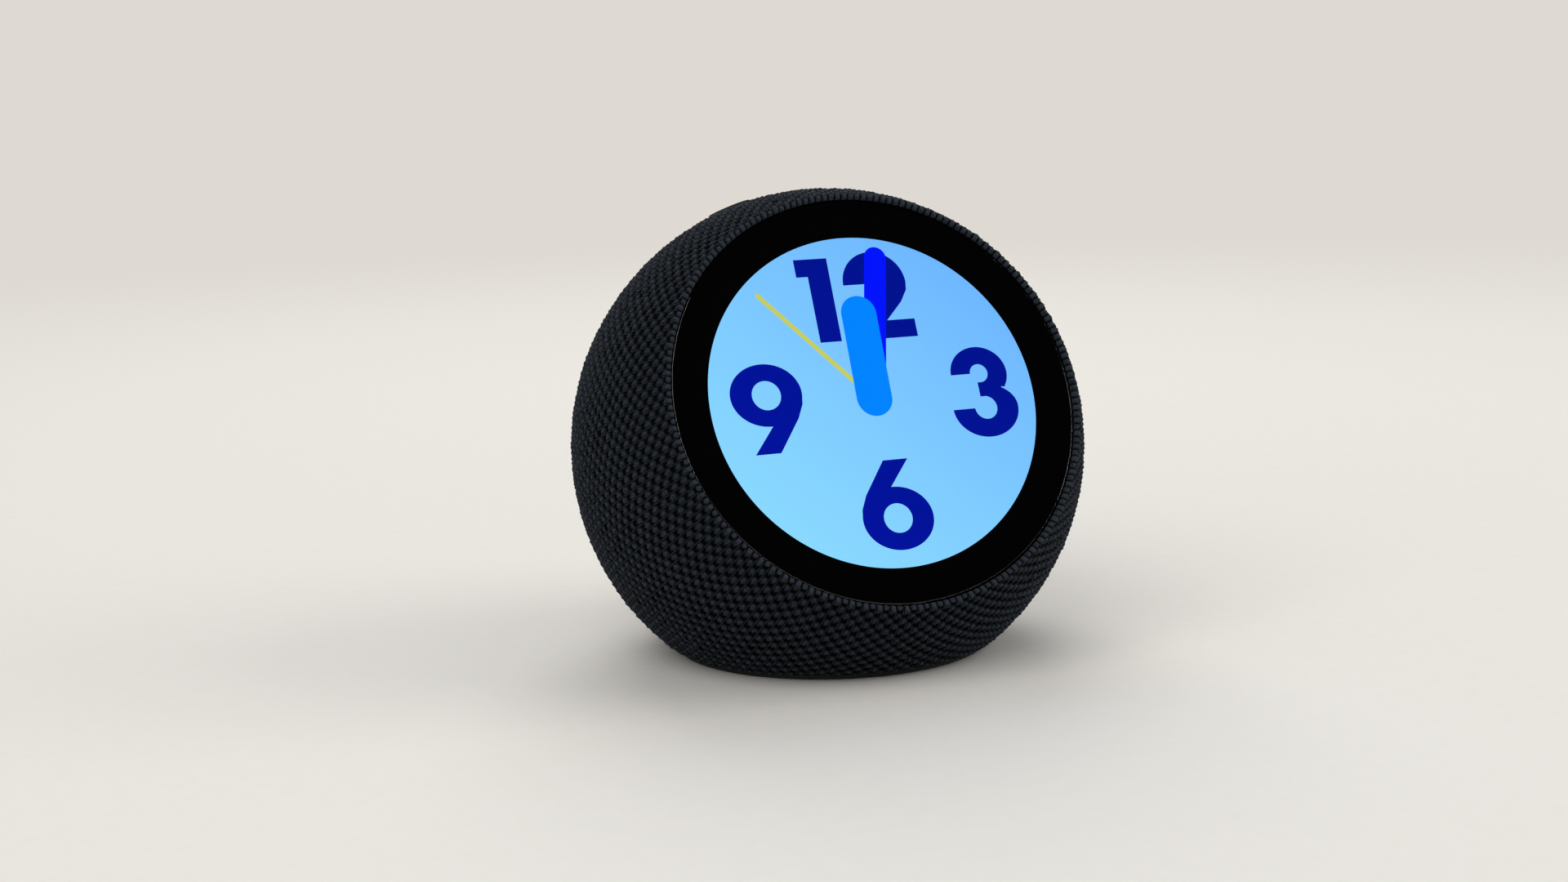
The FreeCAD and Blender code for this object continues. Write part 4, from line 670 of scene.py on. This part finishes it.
# %% The figures 3, 9 and 6
three = [
    (arc((23.8, 3.8), (6.25, 5.7), 180, -36), arc((23.8, 3.8), (1.95, 1.95), 180, -90)),
    (arc((23.8, -3.6), (7.25, 5.05, 6.3), 53, -180), arc((23.85, -3.6), (2.45, 2.45), 90, -180)),
    (even((23.1, -1.2), (24.2, -1.2), (27.2, -1.4)), even((23.1, 1.85), (24.2, 1.85), (27.6, 2.0))),
    (even((26.4, -1.9), (26.8, 0.45), (26.4, 2.6)), even((28.6, -1.0), (28.15, 0.45), (28.4, 1.2))),
]
nine = [
    (arc((-22.9, 2.8), (7.6, 6.55), 0, 360, 65), arc((-22.85, 2.75), (3.05, 3.05), 0, 360, 65)),
    (even((-15.3, 2.8), (-15.6, 0.4), (-17.0, -2.5), (-22.0, -9.35)),
     even((-19.7, 2.2), (-20.6, 0.3), (-22.25, -3.25), (-27.35, -9.35))),
]
TURN = np.array((-23.0, -22.1))
six = [(TURN - first, TURN - second) for first, second in nine]
for name, shape in (("figure_three", three), ("figure_nine", nine), ("figure_six", six)):
    bands_on_dial(name, shape, navy, 2)
print("the 6 is the 9 turned half round")

# %% The dial and its hands
PICTURE = 35.05  # radius of the lit picture, in mm


def capsule(first, last, half):
    """A hand of the clock as one band: its left side and its right side, each half a round end, a straight run and
    half the other round end."""
    first, last = np.array(first), np.array(last)
    run = (last - first) / np.linalg.norm(last - first)
    side = np.array((-run[1], run[0]))
    angle = np.radians(np.linspace(0, 90, 13))[:, None]
    sides = []
    for sign in (1, -1):
        foot = first - half * (np.cos(angle) * run - sign * np.sin(angle) * side)
        tip = last + half * (np.cos(angle[::-1]) * run + sign * np.sin(angle[::-1]) * side)
        sides.append(np.concatenate((foot, tip)))
    return sides


bands_on_dial("dial_sky", [(arc((0.0, 0.0), (PICTURE, PICTURE), 180, 360, 97),
                            arc((0.0, 0.0), (PICTURE, PICTURE), 180, 0, 97))], sky, 1)
bands_on_dial("hand_second", [capsule((0.0, 0.0), (-20.75, 23.75), 0.5)], lemon, 3)
bands_on_dial("hand_minute", [capsule((0.0, 0.0), (6.2, 30.3), 2.38)], ultramarine, 4)
hour = capsule((-0.07, 0.4), (0.2, 18.5), 3.83)
bands_on_dial("hand_hour", [hour], azure, 5)
print("the hour hand is", round(float(np.ptp(hour[0][:, 1])), 1), "mm long")

# %% [markdown]
# ## The black border
# The glass is printed black on its back, outside the picture, which hides the panel's edge and the tape. Ink on
# the far side of polished glass looks deep, because the gloss is the glass's and the black has none. The ground
# edge is blackened too, and a little of the front beside it. Without that the glass would lead the picture's
# light out there, as a blue line.

# %% The printed border
ink = bpy.data.materials.new("screen_print_ink_black")
ink.use_nodes = True
tree = ink.node_tree
grit = add(tree, "TexNoise", {"Vector": add(tree, "TexCoord").outputs["Object"], "Scale": 3000.0, "Detail": 2.0})
tone = add(tree, "Mix", {0: grit.outputs["Fac"], 6: linear("#010102"), 7: linear("#030304")}, data_type="RGBA")
tree.links.new(tone.outputs[2], tree.nodes["Principled BSDF"].inputs["Base Color"])
tree.nodes["Principled BSDF"].inputs["Roughness"].default_value = 0.7
tree.nodes["Principled BSDF"].inputs["Specular IOR Level"].default_value = 0.0
AROUND = 192
OUTER_PRINT = (GLASS_RADIUS - 0.35 * MM) / MM
INNER_PRINT = PICTURE - 0.1
bands_on_dial("border_print", [(arc((0.0, 0.0), (OUTER_PRINT, OUTER_PRINT), 0, 360, AROUND + 1),
                                arc((0.0, 0.0), (INNER_PRINT, INNER_PRINT), 0, 360, AROUND + 1))], ink, 0.5)
print("the border is", round(OUTER_PRINT - PICTURE, 2), "mm wide")

# %% The ink on the glass's edge
INSET, BEVEL = 0.05 * MM, 0.6 * MM
FLANGE = 2.5 * BEVEL
turn = np.radians(np.linspace(0, 85, 8))
edge_out = np.concatenate(([GLASS_RADIUS - INSET], GLASS_RADIUS - BEVEL + (BEVEL - INSET) * np.cos(turn),
                           [GLASS_RADIUS - FLANGE]))
edge_up = np.concatenate(([PANEL_FRONT + INSET], GLASS_FRONT - BEVEL + (BEVEL - INSET) * np.sin(turn),
                          [GLASS_FRONT - INSET]))
around = 2 * np.pi * np.arange(AROUND)[None, :, None] / AROUND
edge_ring = MIDDLE + edge_up[:, None, None] * FACING + edge_out[:, None, None] * (
    np.cos(around) * SIDE + np.sin(around) * RISE)
piece("edge_print", edge_ring, quads(len(edge_up), AROUND)[:, ::-1].tolist(), ink)
print("ink goes", round(float((edge_up[-1] - edge_up[0]) / MM), 2), "mm up the glass's edge")

# %% [markdown]
# ## Finishes of the other parts
# Moulded, sintered and plated surfaces differ mostly in the size and depth of their grain and in how much they
# blur a reflection. So one function makes a finish whose tone, gloss and height all follow one grain pattern,
# and each material calls it with its own real sizes.

# %% One grain for a whole finish
def grained(name, tones, grain, depth, rough, metallic=0.0, ior=1.5, pattern="TexNoise", stretch=(1, 1, 1)):
    """A finish whose tone goes from one colour to the other with its grain; grain and depth are in millimetres,
    rough is the lowest and the highest roughness."""
    material = bpy.data.materials.new(name)
    material.use_nodes = True
    tree = material.node_tree
    skin = tree.nodes["Principled BSDF"]
    place = add(tree, "Mapping", {"Vector": add(tree, "TexCoord").outputs["Object"], "Scale": stretch}).outputs[0]
    extra = {"Detail": 4.0} if pattern == "TexNoise" else {}
    made = add(tree, pattern, {"Vector": place, "Scale": 1000.0 / grain, **extra})
    height = made.outputs["Distance" if pattern == "TexVoronoi" else "Fac"]
    tone = add(tree, "Mix", {0: height, 6: linear(tones[0]), 7: linear(tones[1])}, data_type="RGBA")
    gloss = add(tree, "MapRange", {"Value": height, "To Min": rough[0], "To Max": rough[1]})
    relief = add(tree, "Bump", {"Height": height, "Distance": depth * MM, "Strength": 1.0})
    tree.links.new(tone.outputs[2], skin.inputs["Base Color"])
    tree.links.new(gloss.outputs[0], skin.inputs["Roughness"])
    tree.links.new(relief.outputs[0], skin.inputs["Normal"])
    skin.inputs["Metallic"].default_value = metallic
    if not metallic:
        skin.inputs["IOR"].default_value = ior
    return material


finishes = {"knit_cover": yarn}
print("the sleeve's finish has", len(yarn.node_tree.nodes), "nodes")

# %% Plastics, rubbers and foam
# PVC drawn over a stranded wire: smooth, a little greasy, with faint lumps where the strands press through
finishes["lead_jacket"] = grained("pvc_black_wire_jacket", ("#0d0d0e", "#161617"), 0.8, 0.02, (0.3, 0.42),
                                  ior=1.53)
# ABS moulded against a spark-eroded tool: an even fine grain that breaks up reflections
finishes["housing_plastic"] = grained("abs_black_moulded", ("#141416", "#1c1c1f"), 0.35, 0.02, (0.42, 0.6),
                                      ior=1.53)
# silicone with a soft-touch coat, dyed to match the sleeve: no glint, a faint bloom
finishes["button_rubber"] = grained("silicone_charcoal_soft_touch", ("#1b1d20", "#25272b"), 0.25, 0.012,
                                    (0.6, 0.78), ior=1.41)
# silicone foot, matt from a blasted mould
finishes["foot_rubber"] = grained("silicone_black_matt", ("#101011", "#18181a"), 0.3, 0.02, (0.7, 0.85), ior=1.41)
# closed-cell foam: small dark pits
finishes["foam_tape"] = grained("polyurethane_foam_black", ("#0c0c0d", "#1c1c1e"), 0.4, 0.08, (0.8, 0.95),
                                pattern="TexVoronoi")
# white polycarbonate, moulded, slightly glossy
finishes["tray_plastic"] = grained("polycarbonate_white_moulded", ("#d9d8d3", "#e4e3df"), 0.5, 0.01,
                                   (0.35, 0.5), ior=1.585)
print(len(finishes), "finishes so far")

# %% Metals, ferrite and paper
# cold-rolled steel, pressed and nickel plated: streaks along the rolling direction
finishes["pressed_steel"] = grained("steel_pressed_nickel_plated", ("#a4a6a8", "#bcbdbe"), 0.6, 0.006,
                                    (0.25, 0.42), metallic=1.0, stretch=(1, 12, 1))
# aluminium, blasted and anodised black
finishes["spreader_aluminium"] = grained("aluminium_anodised_black", ("#232427", "#303135"), 0.2, 0.008,
                                         (0.4, 0.55), metallic=1.0)
# sintered ferrite: stone-like, with glints of grain
finishes["magnet_ferrite"] = grained("ferrite_sintered", ("#26272a", "#37383c"), 0.5, 0.015, (0.45, 0.7),
                                     pattern="TexVoronoi")
# pulp cone: felted fibres
finishes["cone_paper"] = grained("paper_pulp_black", ("#151516", "#262627"), 0.7, 0.05, (0.8, 0.95), ior=1.47)
# brass under nickel: bright, faintly yellow
finishes["contact_brass"] = grained("brass_nickel_plated", ("#c9c0a8", "#d8d1bf"), 0.3, 0.003, (0.15, 0.28),
                                    metallic=1.0)
# zinc-plated steel with a bluish passivation
finishes["screw_steel"] = grained("steel_zinc_plated", ("#8f949b", "#a9adb4"), 0.4, 0.004, (0.28, 0.42),
                                  metallic=1.0)
print(len(finishes), "finishes so far")

# %% [markdown]
# ## Finishes with a pattern of their own
# Three kinds of part have lines that belong to them: copper tracks under the board's green varnish, the tracks of
# the ribbon cables, and the turns of wire on the coil. The glass has no grain, but a film one can't quite wipe off.

# %% Board, ribbon and coil
def lined(name, tones, pitch, rough, metallic=0.0, direction="X", ior=1.5, depth=0.01):
    """A finish of parallel lines, one each pitch in millimetres: the wave texture has one band in 0.314 units at
    scale 1, so its scale is 314 over the pitch."""
    material = bpy.data.materials.new(name)
    material.use_nodes = True
    tree = material.node_tree
    skin = tree.nodes["Principled BSDF"]
    place = add(tree, "TexCoord").outputs["Object"]
    lines = add(tree, "TexWave", {"Vector": place, "Scale": 314.0 / pitch, "Distortion": 0.0},
                bands_direction=direction)
    patches = add(tree, "TexVoronoi", {"Vector": place, "Scale": 90.0})
    crossed = add(tree, "Math", {0: lines.outputs["Fac"], 1: patches.outputs["Distance"]}, operation="MULTIPLY")
    share = add(tree, "MapRange", {"Value": crossed.outputs[0], "From Min": 0.2, "From Max": 0.45}).outputs[0]
    tone = add(tree, "Mix", {0: share, 6: linear(tones[0]), 7: linear(tones[1])}, data_type="RGBA")
    relief = add(tree, "Bump", {"Height": lines.outputs["Fac"], "Distance": depth * MM, "Strength": 1.0})
    tree.links.new(tone.outputs[2], skin.inputs["Base Color"])
    tree.links.new(relief.outputs[0], skin.inputs["Normal"])
    skin.inputs["Roughness"].default_value = rough
    skin.inputs["Metallic"].default_value = metallic
    if not metallic:
        skin.inputs["IOR"].default_value = ior
    return material


# glass-fibre board with green solder varnish over copper tracks 0.8 mm apart
finishes["circuit_board"] = lined("fibreglass_board_green_varnish", ("#0c3b22", "#1c6b3c"), 0.8, 0.25, ior=1.55)
# polyimide film, amber, with tracks 0.5 mm apart
finishes["ribbon_film"] = lined("polyimide_film_amber", ("#8a5a1c", "#c08436"), 0.5, 0.3, ior=1.7)
# enamelled copper wire wound in turns 0.2 mm apart
finishes["coil_copper"] = lined("copper_enamelled_winding", ("#7a3418", "#c4683a"), 0.2, 0.3, metallic=1.0,
                                direction="Z")
print(len(finishes), "finishes, with", finishes["coil_copper"].name)

# %% The glass and the panel
# polished float glass: mirror-smooth, its film seen only where a light is mirrored
glass = bpy.data.materials.new("glass_polished_clear")
glass.use_nodes = True
tree = glass.node_tree
skin = tree.nodes["Principled BSDF"]
smear = add(tree, "TexNoise", {"Vector": add(tree, "TexCoord").outputs["Object"], "Scale": 60.0, "Detail": 3.0})
film = add(tree, "MapRange", {"Value": smear.outputs["Fac"], "To Max": 0.03})
tree.links.new(film.outputs[0], skin.inputs["Roughness"])
skin.inputs["Transmission Weight"].default_value = 1.0
skin.inputs["IOR"].default_value = 1.5
finishes["cover_glass"] = glass
# the panel itself, seen only at its edge: a dark polariser sheet
finishes["display_picture"] = grained("polariser_film_dark", ("#0a0a0d", "#101014"), 0.4, 0.002, (0.2, 0.3))
print(len(finishes), "finishes in all")

# %% Every CAD part gets its finish
slot_of = {part["node"]: part["material_slot"] for part in frame["record"]["subparts"]}
for name, part in nodes.items():
    finish = finishes[slot_of[name]]
    if not part.data.materials:
        part.data.materials.append(finish)
    for place in part.material_slots:
        place.material = finish
print("finished", len(nodes), "CAD parts in", len(set(slot_of.values())), "slots")

# %% [markdown]
# ## Floor, lamps and surroundings
# The clock stands on a plain pale floor under large soft lamps. Their size makes the shadows soft, and their
# power is set so that a grey written as a code renders as about that grey. They hang where the glass doesn't
# mirror them into the camera, because the real border looks black. Far from the clock the lamps no longer reach
# the floor, so there it fades to the pale tone of the background. That tone is only for rays that show things,
# from the camera, off a mirror or through glass, and lights nothing.

# %% The floor
def showing(tree):
    """1 for a ray from the camera, off a glossy surface or through glass, and 0 for the rays that light things."""
    path = add(tree, "LightPath")
    some = add(tree, "Math", {0: path.outputs["Is Camera Ray"], 1: path.outputs["Is Glossy Ray"]},
               operation="MAXIMUM")
    return add(tree, "Math", {0: some.outputs[0], 1: path.outputs["Is Transmission Ray"]},
               operation="MAXIMUM").outputs[0]


PALE = linear("#dedad3")
FADE_FROM, FADE_TO = 0.35, 1.1
# smoothed gypsum plaster: matt, with clouds of tone that hardly show
plaster = grained("plaster_pale", ("#d9d5cd", "#dedad3"), 4.0, 0.05, (0.75, 0.85))
half = 6.0
mesh = bpy.data.meshes.new("floor")
mesh.from_pydata([(-half, -half, 0), (half, -half, 0), (half, half, 0), (-half, half, 0)], [], [(0, 1, 2, 3)])
mesh.materials.append(plaster)
tree = plaster.node_tree
spot = add(tree, "VectorMath", {0: add(tree, "TexCoord").outputs["Object"]}, operation="LENGTH").outputs["Value"]
far = add(tree, "MapRange", {"Value": spot, "From Min": FADE_FROM, "From Max": FADE_TO},
          interpolation_type="SMOOTHSTEP")
seen_far = add(tree, "Math", {0: far.outputs[0], 1: showing(tree)}, operation="MULTIPLY")
pale = add(tree, "Emission", {"Color": PALE, "Strength": 1.0})
faded = add(tree, "MixShader", {0: seen_far.outputs[0], 1: tree.nodes["Principled BSDF"].outputs[0],
                                2: pale.outputs[0]})
tree.links.new(faded.outputs[0], tree.nodes["Material Output"].inputs["Surface"])
floor = bpy.data.objects.new("floor", mesh)
scene.collection.objects.link(floor)
print("floor", 2 * half, "m square")

# %% The lamps
LAMPS = {
    # name: place, edge in m, power in W
    "lamp_key": ((-0.9, -0.7, 1.1), 1.4, 12.5),
    "lamp_fill": ((1.2, -0.5, 0.7), 1.1, 9.0),
    "lamp_back": ((0.3, 1.2, 1.2), 1.2, 14.0),
}
AIM = np.array((0.0, 0.0, 0.045))
for name, (place, edge, power) in LAMPS.items():
    lamp = bpy.data.lights.new(name, "AREA")
    lamp.shape, lamp.size, lamp.energy = "SQUARE", edge, power
    hung = bpy.data.objects.new(name, lamp)
    scene.collection.objects.link(hung)
    away = np.array(place) - AIM
    away /= np.linalg.norm(away)
    level = np.cross((0.0, 0.0, 1.0), away)
    level /= np.linalg.norm(level)
    turned = Matrix([level.tolist(), np.cross(away, level).tolist(), away.tolist()]).transposed().to_4x4()
    turned.translation = place
    hung.matrix_world = turned
print(len(LAMPS), "lamps")

# %% The world
# the room's pale wall ends in a dark ceiling, which the tilted glass mirrors and so looks black; the light that the
# room itself gives is even and weak
WALL_TOP, CEILING = 0.2, 0.5
ROOM_LIGHT = 0.6
world = bpy.data.worlds.new("studio")
scene.world = world
world.use_nodes = True
tree = world.node_tree
tree.nodes.clear()
direction = add(tree, "TexCoord").outputs["Generated"]
height = add(tree, "SeparateXYZ", {0: direction}).outputs["Z"]
fade = add(tree, "MapRange", {"Value": height, "From Min": WALL_TOP, "From Max": CEILING}).outputs[0]
seen = add(tree, "Mix", {0: fade, 6: PALE, 7: linear("#242424")}, data_type="RGBA").outputs[2]
shown = add(tree, "Background", {"Color": seen, "Strength": 1.0})
fill = add(tree, "Background", {"Color": linear("#d8dade"), "Strength": ROOM_LIGHT})
mixed = add(tree, "MixShader", {0: showing(tree), 1: fill.outputs[0], 2: shown.outputs[0]})
add(tree, "OutputWorld", {"Surface": mixed.outputs[0]})
scene.view_settings.view_transform = "Standard"
print("the room's light is", ROOM_LIGHT, "of a white world's")
